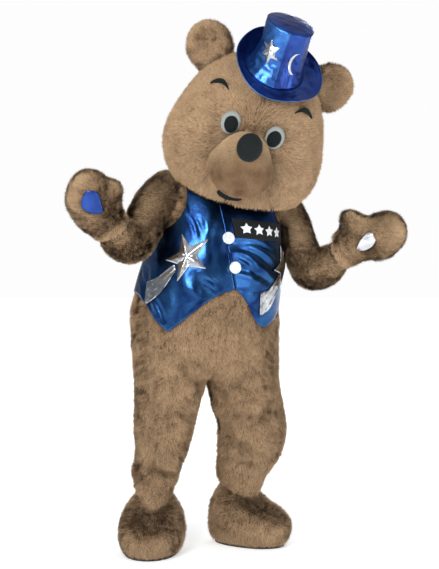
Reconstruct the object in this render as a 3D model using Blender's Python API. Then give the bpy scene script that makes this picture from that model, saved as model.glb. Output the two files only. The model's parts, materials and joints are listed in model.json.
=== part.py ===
"""Bear mascot costume, worn: fur suit, blue waistcoat, head with a small hat, mitts and boots. Metres, +Z up."""

import math

import bmesh
import bpy
from mathutils import Matrix, Vector
from mathutils.bvhtree import BVHTree

# The costume is worked out standing on a floor at z = 0, its front towards -Y, and then hung on one empty
# that moves the place where the wearer's shoulders carry it to the origin.
SHOULDER_POINT = Vector((0.035, 0.0, 1.36))

SEAM_GAP = 0.0003
BODY_WALL = 0.012
SLEEVE_WALL = 0.008
HEAD_WALL = 0.015
MITT_WALL = 0.010
BOOT_WALL = 0.011
MUZZLE_WALL = 0.009
EAR_WALL = 0.010
LAME_WALL = 0.002
FUR_PRESSED = 0.009
WAISTCOAT_DEPTH = 0.0042

YAW = math.radians(18)
LATERAL = Vector((math.cos(YAW), math.sin(YAW), 0))
FORWARD = Vector((math.sin(YAW), -math.cos(YAW), 0))
UP = Vector((0, 0, 1))

# Torso sections of the fur's tips: height, half width, depth to the front and to the back, and the centre's x.
TORSO_COLUMNS = ("z", "half_width", "front", "back", "centre_x")
TORSO = (
    (0.600, 0.272, 0.205, 0.205, -0.025),
    (0.740, 0.276, 0.235, 0.222, -0.026),
    (0.860, 0.274, 0.246, 0.222, -0.027),
    (0.960, 0.268, 0.244, 0.212, -0.014),
    (1.050, 0.257, 0.232, 0.198, 0.004),
    (1.140, 0.241, 0.212, 0.182, 0.018),
    (1.220, 0.226, 0.186, 0.168, 0.026),
    (1.280, 0.208, 0.158, 0.152, 0.032),
    (1.325, 0.176, 0.128, 0.130, 0.042),
    (1.368, 0.100, 0.092, 0.098, 0.062),
)
SHOULDER_LEAN = 0.12
SQUARENESS = 0.90

# Leg sections of the fur's tips: height, centre and the half width across and along the foot.
LEG_COLUMNS = ("z", "x", "y", "across", "along")
RIGHT_LEG = (
    (0.158, -0.2065, -0.142, 0.062, 0.066),
    (0.175, -0.2065, -0.141, 0.073, 0.076),
    (0.210, -0.204, -0.134, 0.076, 0.080),
    (0.245, -0.203, -0.120, 0.089, 0.096),
    (0.280, -0.200, -0.106, 0.093, 0.102),
    (0.330, -0.184, -0.090, 0.094, 0.108),
    (0.400, -0.176, -0.078, 0.105, 0.122),
    (0.500, -0.166, -0.060, 0.118, 0.145),
    (0.600, -0.1505, -0.0408, 0.132, 0.170),
)
LEFT_LEG = (
    (0.158, 0.103, 0.018, 0.074, 0.076),
    (0.175, 0.103, 0.018, 0.086, 0.088),
    (0.210, 0.104, 0.018, 0.090, 0.094),
    (0.245, 0.112, 0.020, 0.101, 0.104),
    (0.290, 0.132, 0.024, 0.121, 0.116),
    (0.350, 0.143, 0.030, 0.130, 0.124),
    (0.420, 0.149, 0.034, 0.132, 0.134),
    (0.510, 0.128, 0.036, 0.138, 0.152),
    (0.600, 0.1073, 0.0430, 0.139, 0.170),
)
CROTCH_Z = 0.600
HIP_Z = 0.840
HEM_CLEARANCE = 0.0006
HEM_BLEND_Z = 0.330

# Folds of the legs and hips: side, round the leg from the inseam by the front, height, half width round,
# half height, slant (change of round per metre of height) and depth, below zero for a trough.
FOLD_COLUMNS = ("side", "u", "z", "du", "dz", "slant", "depth")
FOLDS = (
    (-1, 0.330, 0.560, 0.050, 0.200, -0.10, -0.016),
    (-1, 0.430, 0.600, 0.050, 0.220, -0.06, 0.012),
    (-1, 0.120, 0.700, 0.050, 0.100, 0.75, -0.020),
    (-1, 0.060, 0.790, 0.060, 0.070, 0.30, 0.012),
    (-1, 0.300, 0.310, 0.170, 0.035, 0.00, -0.010),
    (-1, 0.650, 0.520, 0.055, 0.220, 0.05, -0.014),
    (-1, 0.800, 0.640, 0.060, 0.160, -0.20, -0.012),
    (1, 0.140, 0.640, 0.060, 0.090, -0.55, -0.012),
    (1, 0.250, 0.535, 0.190, 0.034, 0.00, -0.017),
    (1, 0.330, 0.710, 0.060, 0.080, -0.30, -0.012),
    (1, 0.200, 0.400, 0.150, 0.036, 0.00, -0.012),
    (1, 0.330, 0.310, 0.170, 0.034, 0.00, -0.014),
    (1, 0.700, 0.560, 0.180, 0.038, 0.00, -0.014),
    (1, 0.720, 0.340, 0.160, 0.036, 0.00, -0.012),
)

# Waistcoat hem and top edge: angle round the body from the front centre in degrees, and height.
HEM = (
    (-180, 0.905), (-120, 0.915), (-90, 0.925), (-74, 0.908), (-60, 0.852), (-44, 0.790), (-30, 0.832),
    (-15, 0.893), (-3, 0.934), (5, 0.942), (12, 0.922), (18, 0.872), (24, 0.812), (32, 0.796), (45, 0.818),
    (60, 0.860), (90, 0.915), (120, 0.915), (180, 0.905),
)
TOP_EDGE = ((-180, 1.340), (-90, 1.362), (-45, 1.340), (0, 1.305), (45, 1.340), (90, 1.362), (180, 1.340))
# The front opening leans: its angle at the hem, and how much that changes per metre of height.
FRONT_OPENING, OPENING_SLANT, OPENING_FOOT = 5.0, -61.0, 0.94
WAISTCOAT_ROWS = (
    0.925, 0.968, 1.012, 1.055, 1.095, 1.130, 1.137, 1.158, 1.195, 1.236, 1.277, 1.314, 1.335, 1.342, 1.362,
)

# Creases of the waistcoat: angle, height, half width, half height, slant in degrees per metre, depth.
CREASE_COLUMNS = ("angle", "z", "da", "dz", "slant", "depth")
CREASES = (
    (14, 1.060, 30, 0.026, -160, 0.006),
    (26, 0.975, 30, 0.024, 0, 0.005),
    (-20, 1.150, 11, 0.090, 0, 0.006),
    (-62, 0.990, 11, 0.110, 0, 0.006),
    (-24, 0.960, 11, 0.080, 0, 0.006),
    (130, 1.000, 30, 0.030, 0, 0.006),
    (-135, 1.080, 30, 0.030, 0, 0.006),
)

# Armhole of the suit and of the waistcoat: centre height, half height and half width in degrees.
SUIT_ARMHOLE = (1.245, 0.085, 34.0)
SUIT_ARMHOLE_ROWS = (1.160, 1.176, 1.202, 1.245, 1.288, 1.314, 1.330)
WAISTCOAT_ARMHOLE = (1.236, 0.106, 45.0)

# Sleeves of the fur's tips: middle of the upper arm, corner of the elbow, end at the wrist, the radius at
# each, and the radius of the bend.
SLEEVES = {
    "right": ((-0.240, -0.166, 1.160), (-0.258, -0.226, 1.044), (-0.3530, -0.3190, 1.1768), 0.080, 0.082, 0.0597, 0.088),
    "left": ((0.300, 0.042, 1.128), (0.338, 0.002, 0.950), (0.4790, -0.1485, 1.0845), 0.078, 0.085, 0.0517, 0.094),
}
BEND_STEPS = 4
SLEEVE_CLEARANCE = 0.0022
SLEEVE_RELAX = 3

# Lobes of the rounded forms: centre and radius. Each form is the soft union of its lobes.
HEAD_CENTRE = Vector((0.129, -0.080, 1.504))
HEAD_ROLL, HEAD_PITCH, HEAD_YAW = 19.0, 6.0, 3.5
HEAD_LOBES = (
    ((0.000, 0.005, 0.020), 0.262),
    ((-0.118, -0.055, -0.085), 0.168),
    ((0.118, -0.055, -0.085), 0.168),
    ((0.000, -0.080, -0.150), 0.148),
    ((0.000, 0.040, -0.080), 0.200),
)
NECK_RIM = (1.351, -0.27, 0.40)
MUZZLE_CENTRE = Vector((0.000, -0.235, -0.095))
MUZZLE_LOBES = (
    ((0.000, -0.030, 0.010), 0.093),
    ((-0.044, -0.050, -0.030), 0.074),
    ((0.044, -0.050, -0.030), 0.074),
    ((0.000, -0.080, 0.030), 0.078),
    ((0.000, -0.045, -0.060), 0.068),
)
RIGHT_MITT_CENTRE = Vector((-0.400, -0.360, 1.245))
RIGHT_MITT_LOBES = (
    ((0.000, 0.000, -0.010), 0.080),
    ((-0.010, -0.020, 0.046), 0.072),
    ((-0.034, 0.000, 0.006), 0.066),
    ((0.004, 0.008, -0.042), 0.070),
    ((0.050, 0.010, 0.018), 0.048),
    ((0.078, 0.000, 0.052), 0.036),
    ((0.030, 0.030, -0.050), 0.066),
    ((0.055, 0.048, -0.080), 0.066),
)
LEFT_MITT_CENTRE = Vector((0.550, -0.190, 1.120))
LEFT_MITT_LOBES = (
    ((0.000, 0.000, 0.000), 0.072),
    ((0.056, -0.020, 0.022), 0.080),
    ((0.040, 0.000, -0.020), 0.066),
    ((-0.052, -0.010, 0.040), 0.052),
    ((-0.080, -0.010, 0.084), 0.042),
    ((-0.055, 0.032, -0.028), 0.068),
    ((-0.095, 0.056, -0.048), 0.066),
)
MITT_CUFF_REACH = 0.112
LOBE_POWER = 10.0

# Boots: height, reach of the toe, of the heel, and half width.
BOOT_COLUMNS = ("z", "toe", "heel", "half_width")
BOOT = (
    (0.0083, 0.172, 0.118, 0.100),
    (0.030, 0.194, 0.134, 0.116),
    (0.065, 0.202, 0.140, 0.122),
    (0.100, 0.195, 0.138, 0.120),
    (0.135, 0.168, 0.130, 0.112),
    (0.160, 0.128, 0.113, 0.097),
    (0.178, 0.092, 0.090, 0.079),
    (0.192, 0.064, 0.066, 0.059),
    (0.205, 0.048, 0.050, 0.046),
    (0.225, 0.044, 0.046, 0.042),
)
BOOT_RISE = 0.24
SOLE_THICKNESS = 0.008
RIGHT_BOOT = (Vector((-0.213, -0.146, 0)), -6.0)
LEFT_BOOT = (Vector((0.119, 0.006, 0)), 52.0)
TOE_GROOVE = 0.010

EYE_PLACE, EYE_HALF, PUPIL_HALF = (0.080, 0.018), (0.034, 0.041), (0.023, 0.029)
HAT_BASE = Vector((0.218, -0.226, 1.698))
HAT_TOP = Vector((0.272, -0.272, 1.856))
HAT_BASE_NORMAL = Vector((0.242, -0.640, 0.730)).normalized()
HAT_TOP_NORMAL = Vector((0.305, -0.454, 0.837)).normalized()
HAT_BASE_RADIUS, HAT_TOP_RADIUS, BRIM_RADIUS = 0.104, 0.086, 0.172
HAT_SEGMENTS = 24
BRIM_LIFT = 0.080
BRIM_INSIDE = HAT_BASE_RADIUS - 0.006

FUR = (0.42, 0.29, 0.18)
LIGHT_FUR = (0.62, 0.45, 0.30)
BLUE = (0.02, 0.09, 0.42)
SILVER = (0.85, 0.85, 0.87)
BLACK = (0.012, 0.015, 0.018)
WHITE = (0.85, 0.86, 0.86)


def clear_scene():
    for item in list(bpy.data.objects):
        bpy.data.objects.remove(item)


def material(name, colour, roughness, metallic=0.0):
    made = bpy.data.materials.new(name)
    made.use_nodes = True
    shader = made.node_tree.nodes["Principled BSDF"]
    shader.inputs["Base Color"].default_value = (*colour, 1)
    shader.inputs["Roughness"].default_value = roughness
    shader.inputs["Metallic"].default_value = metallic
    return made


def row_at(rows, x):
    """The values of a table's row at x, its first column, read smoothly between the rows."""
    if x <= rows[0][0]:
        return rows[0][1:]
    for low, high in zip(rows, rows[1:]):
        if x <= high[0]:
            t = (x - low[0]) / (high[0] - low[0])
            break
    else:
        return rows[-1][1:]
    index = rows.index(low)
    before = rows[max(index - 1, 0)]
    after = rows[min(index + 2, len(rows) - 1)]
    span = high[0] - low[0]
    values = []
    for column in range(1, len(low)):
        slope_low = (high[column] - before[column]) / max(high[0] - before[0], 1e-9) * span
        slope_high = (after[column] - low[column]) / max(after[0] - low[0], 1e-9) * span
        values.append(
            (2 * t**3 - 3 * t**2 + 1) * low[column]
            + (t**3 - 2 * t**2 + t) * slope_low
            + (-2 * t**3 + 3 * t**2) * high[column]
            + (t**3 - t**2) * slope_high
        )
    return values


def straight_row_at(rows, x):
    """The same, read along straight lines, for an edge with corners."""
    for low, high in zip(rows, rows[1:]):
        if x <= high[0]:
            t = max(0.0, (x - low[0]) / (high[0] - low[0]))
            return low[1] + (high[1] - low[1]) * t
    return rows[-1][1]


def bump(x):
    """A smooth hill, 1 at 0 and 0 from 1 outwards."""
    return (1 - x * x) ** 2 if abs(x) < 1 else 0.0


def lean(across, z):
    """How much the right shoulder rises and the left one drops at this place."""
    share = min(1.0, max(0.0, (z - 1.05) / 0.25))
    return -SHOULDER_LEAN * across * share * share


def torso_point(angle, z):
    """A point of the body's fur tips at an angle from the front centre, above zero towards the bear's left."""
    half_width, front, back, centre_x = row_at(TORSO, z)
    side, ahead = math.sin(angle), math.cos(angle)
    depth = front if ahead > 0 else back
    across = half_width * math.copysign(abs(side) ** SQUARENESS, side)
    along = depth * math.copysign(abs(ahead) ** SQUARENESS, ahead)
    return Vector((centre_x, 0, z + lean(across, z))) + LATERAL * across + FORWARD * along


def hem_z(degrees):
    return straight_row_at(HEM, (degrees + 180) % 360 - 180)


def covered(angle, z):
    """1 where the waistcoat presses the fur down, 0 where the fur stands free."""
    return min(1.0, max(0.0, (z - hem_z(math.degrees(angle)) + 0.042) / 0.020))


def normal_of(surface, u, v, du=0.004, dv=0.004):
    across = surface(u + du, v) - surface(u - du, v)
    along = surface(u, v + dv) - surface(u, v - dv)
    return across.cross(along).normalized()


def fold_depth(side, u, z):
    total = 0.0
    for fold in FOLDS:
        row = dict(zip(FOLD_COLUMNS, fold))
        if row["side"] != side:
            continue
        centre = row["u"] + row["slant"] * (z - row["z"])
        total += row["depth"] * bump((u - centre) / row["du"] / 1.6) * bump((z - row["z"]) / row["dz"] / 1.3)
    return total


def boot_top(side, point):
    """The height of a boot's outside under or over a place."""
    place, turn_degrees = RIGHT_BOOT if side < 0 else LEFT_BOOT
    yaw = math.radians(turn_degrees)
    away = Vector((point.x - place.x, point.y - place.y, 0))
    along = away.dot(Vector((math.sin(yaw), -math.cos(yaw), 0)))
    across = away.dot(Vector((math.cos(yaw), math.sin(yaw), 0)))
    low, high = 0.08, BOOT[-1][0]
    for _ in range(30):
        middle = (low + high) / 2
        toe, heel, half_width = row_at(BOOT, middle)
        reach = toe if along > 0 else heel
        power = 2 / 0.9
        if abs(along / reach) ** power + abs(across / half_width) ** power < 1:
            low = middle
        else:
            high = middle
    ahead = math.copysign(min(1.0, abs(along / reach)) ** (1 / 0.9), along)
    return low + max(0.0, (low - 0.06) / 0.116) * BOOT_RISE * (0.02 - 0.16 * ahead)


def leg_point(side, u, z):
    """A point of a leg's fur tips, round from the inseam by the front, the side and the back.

    The hem follows the top of the boot it lies on, and the rows above it make up the difference.
    """
    rows = RIGHT_LEG if side < 0 else LEFT_LEG
    turn = 2 * math.pi * u

    def ring_point(height, inset):
        x, y, across, along = row_at(rows, height)
        way = FORWARD * ((along - inset) * math.sin(turn)) - LATERAL * (side * (across - inset) * math.cos(turn))
        return Vector((x, y, height)) + way

    point = ring_point(z, 0.0)
    first = rows[0][0]
    if z < HEM_BLEND_Z:
        hem = max(boot_top(side, ring_point(first, inset)) for inset in (0.0, BODY_WALL / 2, BODY_WALL))
        hem += HEM_CLEARANCE
        point.z = hem + (z - first) * (HEM_BLEND_Z - hem) / (HEM_BLEND_Z - first)
    return point


def suit_rows(side):
    """The suit half as a surface over u, from the front centre or the inseam to the back, and v, the row."""
    leg_z = (0.158, 0.180, 0.210, 0.245, 0.285, 0.330, 0.385, 0.440, 0.500, 0.550, CROTCH_Z)
    turns = [math.radians(degrees) for degrees in (14, 30, 48, 68, 90)]
    torso_z = (0.885, 0.930, 0.990, 1.060, 1.115, *SUIT_ARMHOLE_ROWS, 1.350, 1.368)
    first_turn, first_torso = len(leg_z), len(leg_z) + len(turns)
    last = first_torso + len(torso_z) - 1

    def plain(u, row):
        if row < first_turn:
            return leg_point(side, u, leg_z[row])
        if row < first_torso:
            turn = turns[row - first_turn]
            share = math.sin(turn)
            middle = math.cos(math.pi * u) ** 2
            rise = (1 - math.cos(turn)) * middle + turn / (math.pi / 2) * (1 - middle)
            z = CROTCH_Z + (HIP_Z - CROTCH_Z) * rise
            leg = leg_point(side, u, CROTCH_Z)
            leg.z = z
            return leg.lerp(torso_point(side * math.pi * u, z), share)
        return torso_point(side * math.pi * u, torso_z[row - first_torso])

    def surface(u, v):
        low = min(max(int(math.floor(v)), 0), last - 1)
        wrapped = u % 1.0 if v < first_turn - 0.5 else min(max(u, 0.0), 1.0)
        return plain(wrapped, low).lerp(plain(wrapped, low + 1), v - low)

    return surface, first_turn - 1, first_torso, last, torso_z


def armhole_half_angle(hole, z):
    centre, half_height, half_width = hole
    reach = (z - centre) / half_height
    return half_width * math.sqrt(1 - reach * reach) if abs(reach) < 1 else 0.0


def suit_wall_point(side, u, row, surface, crotch_row):
    """The outer and inner points of the suit's wall at one place."""
    point = surface(u, row)
    at_front_or_back = u < 0.002 or u > 0.998
    if row > crotch_row and at_front_or_back:
        step = surface(u, row + 0.4) - surface(u, row - 0.5)
        normal = LATERAL.cross(step) if u < 0.5 else step.cross(LATERAL)
        normal.normalize()
    elif row == crotch_row and at_front_or_back:
        normal = (-UP - LATERAL * side).normalized()
    else:
        normal = normal_of(surface, u, row, 0.01, 0.35) * side
    share = covered(side * math.pi * u, point.z) if row > crotch_row else 0.0
    outer = point + normal * (fold_depth(side, u, point.z) * (1 - share) - FUR_PRESSED * share)
    return outer, outer - normal * (BODY_WALL - FUR_PRESSED * 0.9 * share)


def solid_from_grids(name, outer, inner, closed, coat, pole_first=False, pole_last=False):
    """A cloth wall between two grids of points, each a list of rows; closed joins the last column to the first."""
    shape = bmesh.new()
    rows, columns = len(outer), len(outer[0])

    def vertices_of(grid):
        made = []
        for index, row in enumerate(grid):
            if (pole_first and index == 0) or (pole_last and index == rows - 1):
                pole = shape.verts.new(sum(row, Vector()) / len(row))
                made.append([pole] * columns)
            else:
                made.append([shape.verts.new(point) for point in row])
        return made

    def face(*corners):
        unique = list(dict.fromkeys(corners))
        if len(unique) > 2:
            shape.faces.new(unique)

    def both_walls(i, j, k):
        """The same two triangles on both walls, split along the outer wall's shorter diagonal."""
        corners = [(i, j), (i, k), (i + 1, k), (i + 1, j)]
        first = (outer[i][j] - outer[i + 1][k]).length
        if first > (outer[i][k] - outer[i + 1][j]).length:
            corners = corners[1:] + corners[:1]
        for grid, order in ((sides[0], 1), (sides[1], -1)):
            a, b, c, d = (grid[row][column] for row, column in corners)
            face(*(a, b, c)[::order])
            face(*(a, c, d)[::order])

    sides = (vertices_of(outer), vertices_of(inner))
    steps = [(j, (j + 1) % columns) for j in range(columns if closed else columns - 1)]
    for i in range(rows - 1):
        for j, k in steps:
            both_walls(i, j, k)
    for i, has_pole in ((0, pole_first), (rows - 1, pole_last)):
        if has_pole:
            continue
        for j, k in steps:
            face(sides[0][i][j], sides[1][i][j], sides[1][i][k], sides[0][i][k])
    if not closed:
        for j in (0, columns - 1):
            for i in range(rows - 1):
                face(sides[0][i][j], sides[0][i + 1][j], sides[1][i + 1][j], sides[1][i][j])
    bmesh.ops.recalc_face_normals(shape, faces=shape.faces)
    return finish_mesh(name, shape, coat)


def finish_mesh(name, shape, coat, smooth=math.radians(40)):
    if shape.calc_volume(signed=True) < 0:
        bmesh.ops.reverse_faces(shape, faces=shape.faces)
    mesh = bpy.data.meshes.new(name)
    shape.to_mesh(mesh)
    shape.free()
    mesh.shade_smooth()
    mesh.set_sharp_from_angle(angle=smooth)
    made = bpy.data.objects.new(name, mesh)
    made.data.materials.append(coat)
    return made


def suit_panel(name, side, front, coat, columns):
    """One of the four long panels, each from the neck down to the leg's hem."""
    surface, crotch_row, first_torso, last, torso_z = suit_rows(side)
    edge = 0.00028
    outer, inner = [], []
    for row in range(last + 1):
        notch = 0.0
        if row >= first_torso:
            notch = armhole_half_angle(SUIT_ARMHOLE, torso_z[row - first_torso]) / 180
        start, end = (edge, 0.5 - notch - edge) if front else (0.5 + notch + edge, 1 - edge)
        outer_row, inner_row = [], []
        for column in range(columns + 1):
            u = start + (end - start) * column / columns
            pair = suit_wall_point(side, u, row, surface, crotch_row)
            shift = LATERAL * (side * SEAM_GAP * 0.6)
            outer_row.append(pair[0] + shift)
            inner_row.append(pair[1] + shift)
        outer.append(outer_row)
        inner.append(inner_row)
    return solid_from_grids(name, outer, inner, False, coat)


def crease_depth(degrees, z):
    total = 0.0
    for crease in CREASES:
        row = dict(zip(CREASE_COLUMNS, crease))
        centre = row["angle"] + row["slant"] * (z - row["z"])
        away = (degrees - centre + 180) % 360 - 180
        total += row["depth"] * bump(away / row["da"]) * bump((z - row["z"]) / row["dz"] / 1.5)
    return total


def waistcoat_surface(angle, z):
    """A point of the waistcoat's inner face, just clear of the pressed fur, and its normal."""
    across = torso_point(angle + 0.02, z) - torso_point(angle - 0.02, z)
    along = torso_point(angle, z + 0.006) - torso_point(angle, z - 0.006)
    normal = across.cross(along).normalized()
    return torso_point(angle, z) - normal * WAISTCOAT_DEPTH, normal


def opening_degrees(z):
    return FRONT_OPENING + OPENING_SLANT * max(0.0, z - OPENING_FOOT)


def waistcoat_z(degrees, side_z):
    """The height, at an angle, of the row that has this height at the side seams."""
    level, shoulder = 1.130, 1.277
    if side_z < level:
        low = hem_z(degrees)
        return low + (level - low) * (side_z - WAISTCOAT_ROWS[0]) / (level - WAISTCOAT_ROWS[0])
    if side_z <= shoulder:
        return side_z
    high = straight_row_at(TOP_EDGE, (degrees + 180) % 360 - 180)
    return shoulder + (high - shoulder) * (side_z - shoulder) / (WAISTCOAT_ROWS[-1] - shoulder)


def waistcoat_panel(name, start, end, coat, columns):
    """A waistcoat panel between two angles, each of them at a side seam or at the front opening."""
    outer, inner = [], []
    gap = 0.1
    for side_z in WAISTCOAT_ROWS:
        outer_row, inner_row = [], []
        notch = armhole_half_angle(WAISTCOAT_ARMHOLE, side_z)
        opening = opening_degrees(waistcoat_z(FRONT_OPENING, side_z))
        first = opening if start == FRONT_OPENING else start + notch
        final = opening if end == FRONT_OPENING else end - notch
        for j in range(columns + 1):
            share = j / columns
            degrees = first + gap + (final - first - 2 * gap) * share
            z = waistcoat_z(degrees, side_z)
            point, normal = waistcoat_surface(math.radians(degrees), z)
            fold = abs(crease_depth(degrees, z)) if z < 1.2 else 0.0
            outer_row.append(point + normal * (LAME_WALL + fold))
            inner_row.append(point + normal * fold)
        outer.append(outer_row)
        inner.append(inner_row)
    return solid_from_grids(name, outer, inner, False, coat)


def inside_torso(point, clearance):
    """How far the point must move out to be clear of the torso, and the way out of it."""
    z = point.z
    for _ in range(3):
        _, _, _, centre_x = row_at(TORSO, z)
        across = Vector((point.x - centre_x, point.y, 0)).dot(LATERAL)
        z = point.z - lean(across, z)
    if z > TORSO[-1][0]:
        return 0.0, UP
    half_width, front, back, centre_x = row_at(TORSO, z)
    away = Vector((point.x - centre_x, point.y, 0))
    across, along = away.dot(LATERAL), away.dot(FORWARD)
    depth = front if along > 0 else back
    power = 2 / SQUARENESS
    scale = (abs(across / half_width) ** power + abs(along / depth) ** power) ** (1 / power)
    limit = away.length / max(scale, 1e-6) + clearance
    return max(0.0, limit - away.length), away.normalized()


def inner_wall(outer, wall, closed):
    """The same grid moved inwards along its own normals, the side being the one of the rings' middles."""
    rows, columns = len(outer), len(outer[0])
    normals = []
    for i in range(rows):
        row = []
        for j in range(columns):
            before = outer[i][(j - 1) % columns] if closed or j else outer[i][j]
            after = outer[i][(j + 1) % columns] if closed or j < columns - 1 else outer[i][j]
            along = outer[min(i + 1, rows - 1)][j] - outer[max(i - 1, 0)][j]
            row.append((after - before).cross(along).normalized())
        normals.append(row)
    test = rows // 2
    middle = sum(outer[test], Vector()) / columns
    facing_in = sum((middle - outer[test][j]).dot(normals[test][j]) for j in range(columns))
    sign = 1 if facing_in > 0 else -1
    return [
        [outer[i][j] + normals[i][j] * (sign * wall) for j in range(columns)]
        for i in range(rows)
    ]


def bent_path(start, corner, end, radius):
    """Places and directions along two straight lines joined by a bend, with a share of the way to the end."""
    first = (corner - start).normalized()
    second = (end - corner).normalized()
    half = first.angle(second) / 2
    reach = radius * math.tan(half)
    axis = first.cross(second).normalized()
    into, out_of = corner - first * reach, corner + second * reach
    to_pivot = axis.cross(first) * radius
    pivot = into + to_pivot
    stations = [(start, first, 0.0)]
    for step in range(BEND_STEPS + 1):
        turn = Matrix.Rotation(2 * half * step / BEND_STEPS, 3, axis)
        stations.append((pivot - turn @ to_pivot, turn @ first, 0.4 + 0.25 * step / BEND_STEPS))
    stations.append((out_of.lerp(end, 0.55), second, 0.9))
    stations.append((end, second, 1.0))
    return stations


def armhole_loop(side):
    """The armhole's edge, from its bottom by the front, the top and the back, with the suit's normals."""
    clear = 0.15
    inside = SUIT_ARMHOLE_ROWS[1:-1]
    places = [(90.0, SUIT_ARMHOLE_ROWS[0] + 0.0006)]
    places += [(90 - armhole_half_angle(SUIT_ARMHOLE, z) + clear, z) for z in inside]
    places.append((90.0, SUIT_ARMHOLE_ROWS[-1] - 0.0006))
    places += [(90 + armhole_half_angle(SUIT_ARMHOLE, z) - clear, z) for z in inside[::-1]]
    loop = []
    for degrees, z in places:
        angle = side * math.radians(degrees)
        normal = normal_of(torso_point, angle, z, 0.02, 0.006)
        loop.append((torso_point(angle, z) - normal * (FUR_PRESSED * covered(angle, z)), normal))
    return loop


def sleeve(name, side, sizes, coat):
    """A tube from the armhole to the wrist. The arm's underside is pressed flat where it lies on the body."""
    start, corner, end, upper, elbow, wrist, bend = sizes
    stations = bent_path(Vector(start), Vector(corner), Vector(end), bend)
    loop = armhole_loop(side)
    columns = len(loop)
    first = stations[0][1]
    inward = LATERAL * -side
    inward = (inward - first * inward.dot(first)).normalized()
    front = first.cross(inward)
    front = front if front.dot(FORWARD) > 0 else -front

    rings = []
    direction = first
    for index, (place, way, share) in enumerate(stations):
        turn = direction.rotation_difference(way).to_matrix()
        inward, front, direction = turn @ inward, turn @ front, way
        radius = upper + (elbow - upper) * min(share / 0.5, 1)
        radius += (wrist - elbow) * max(0.0, (share - 0.6) / 0.3 if share < 0.9 else 1.0)
        ring = []
        for j in range(columns):
            around = 2 * math.pi * j / columns
            wave = 1 + 0.04 * math.sin(3 * around + 1.7 * index) * (share < 0.85)
            point = place + (inward * math.cos(around) + front * math.sin(around)) * (radius * wave)
            if share < 0.5:
                depth, out = inside_torso(point, SLEEVE_CLEARANCE)
                point = point + out * depth
            ring.append(point)
        rings.append(ring)

    outer = [[point - normal * (BODY_WALL - FUR_PRESSED) for point, normal in loop]]
    outer.append([point for point, _ in loop])
    for share in (0.16, 0.34, 0.54, 0.76):
        ring = []
        for j, (point, normal) in enumerate(loop):
            target = rings[0][j]
            top = 0.5 - 0.5 * math.cos(2 * math.pi * j / columns)
            reach = (target - point).length * (0.85 + 0.32 * top)
            t = share
            place = (2 * t**3 - 3 * t**2 + 1) * point + (t**3 - 2 * t**2 + t) * (normal * reach)
            place += (-2 * t**3 + 3 * t**2) * target + (t**3 - t**2) * (first * reach)
            allowed = SLEEVE_CLEARANCE + FUR_PRESSED
            depth, out = inside_torso(place, -FUR_PRESSED + allowed * min(1.0, 3 * share))
            ring.append(place + out * depth)
        outer.append(ring)
    outer += rings
    for _ in range(SLEEVE_RELAX):
        before = [list(ring) for ring in outer]
        for i in range(6, 9):
            for j in range(columns):
                along = (before[i - 1][j] + before[i + 1][j]) / 2
                across = (before[i][j - 1] + before[i][(j + 1) % columns]) / 2
                point = before[i][j] * 0.5 + along * 0.4 + across * 0.1
                depth, out = inside_torso(point, SLEEVE_CLEARANCE if i > 5 else SLEEVE_CLEARANCE * (i - 1) / 5)
                outer[i][j] = point + out * depth
    return solid_from_grids(name, outer, inner_wall(outer, SLEEVE_WALL, True), True, coat)


def lobe_radius(direction, lobes):
    """How far the soft union of the lobes reaches from its centre in a unit direction."""
    total = 0.0
    for place, radius in lobes:
        centre = Vector(place)
        ahead = direction.dot(centre)
        inside = ahead * ahead - centre.length_squared + radius * radius
        if inside > 0:
            total += max(ahead + math.sqrt(inside), 0.0) ** LOBE_POWER
    return total ** (1 / LOBE_POWER)


def head_matrix():
    roll = Matrix.Rotation(math.radians(HEAD_ROLL), 3, "Y")
    yaw = Matrix.Rotation(math.radians(HEAD_YAW), 3, "Z")
    pitch = Matrix.Rotation(math.radians(HEAD_PITCH), 3, "X")
    return roll @ yaw @ pitch


HEAD_TURN = head_matrix()


def sphere_way(polar, around):
    """A direction in a form's own frame: polar from +Z, around from -Y towards +X."""
    ring = math.sin(polar)
    return Vector((math.sin(around) * ring, -math.cos(around) * ring, math.cos(polar)))


def head_point(way, out=0.0):
    return HEAD_CENTRE + HEAD_TURN @ (way * (lobe_radius(way, HEAD_LOBES) + out))


def head_place(local):
    """A point given in the head's own frame, in the costume's frame."""
    return HEAD_CENTRE + HEAD_TURN @ Vector(local)


def on_head(x, z, out=0.0):
    """The point of the head's front at sideways x and height z in the head's frame, moved out."""
    y = -0.28
    for _ in range(30):
        way = Vector((x, y, z)).normalized()
        y = -math.sqrt(max((lobe_radius(way, HEAD_LOBES)) ** 2 - x * x - z * z, 1e-6))
    normal = head_normal(Vector((x, y, z)).normalized())
    return Vector((x, y, z)) + normal * out, normal


def head_normal(way):
    """The outward normal of the head in its own frame."""
    helper = Vector((0, 0, 1)) if abs(way.z) < 0.9 else Vector((1, 0, 0))
    first = way.cross(helper).normalized()
    second = way.cross(first).normalized()
    places = []
    for step in (first, -first, second, -second):
        turned = (way + step * 0.03).normalized()
        places.append(turned * lobe_radius(turned, HEAD_LOBES))
    normal = (places[0] - places[1]).cross(places[2] - places[3]).normalized()
    return normal if normal.dot(way) > 0 else -normal


def neck_polar(around):
    """The polar angle at which the head's neck opening cuts its surface."""
    height, slope_x, slope_y = NECK_RIM
    low, high = math.radians(70), math.radians(175)
    for _ in range(40):
        middle = (low + high) / 2
        point = head_point(sphere_way(middle, around))
        limit = height + slope_x * (point.x - 0.035) + slope_y * point.y
        if point.z > limit:
            low = middle
        else:
            high = middle
    return low


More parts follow.
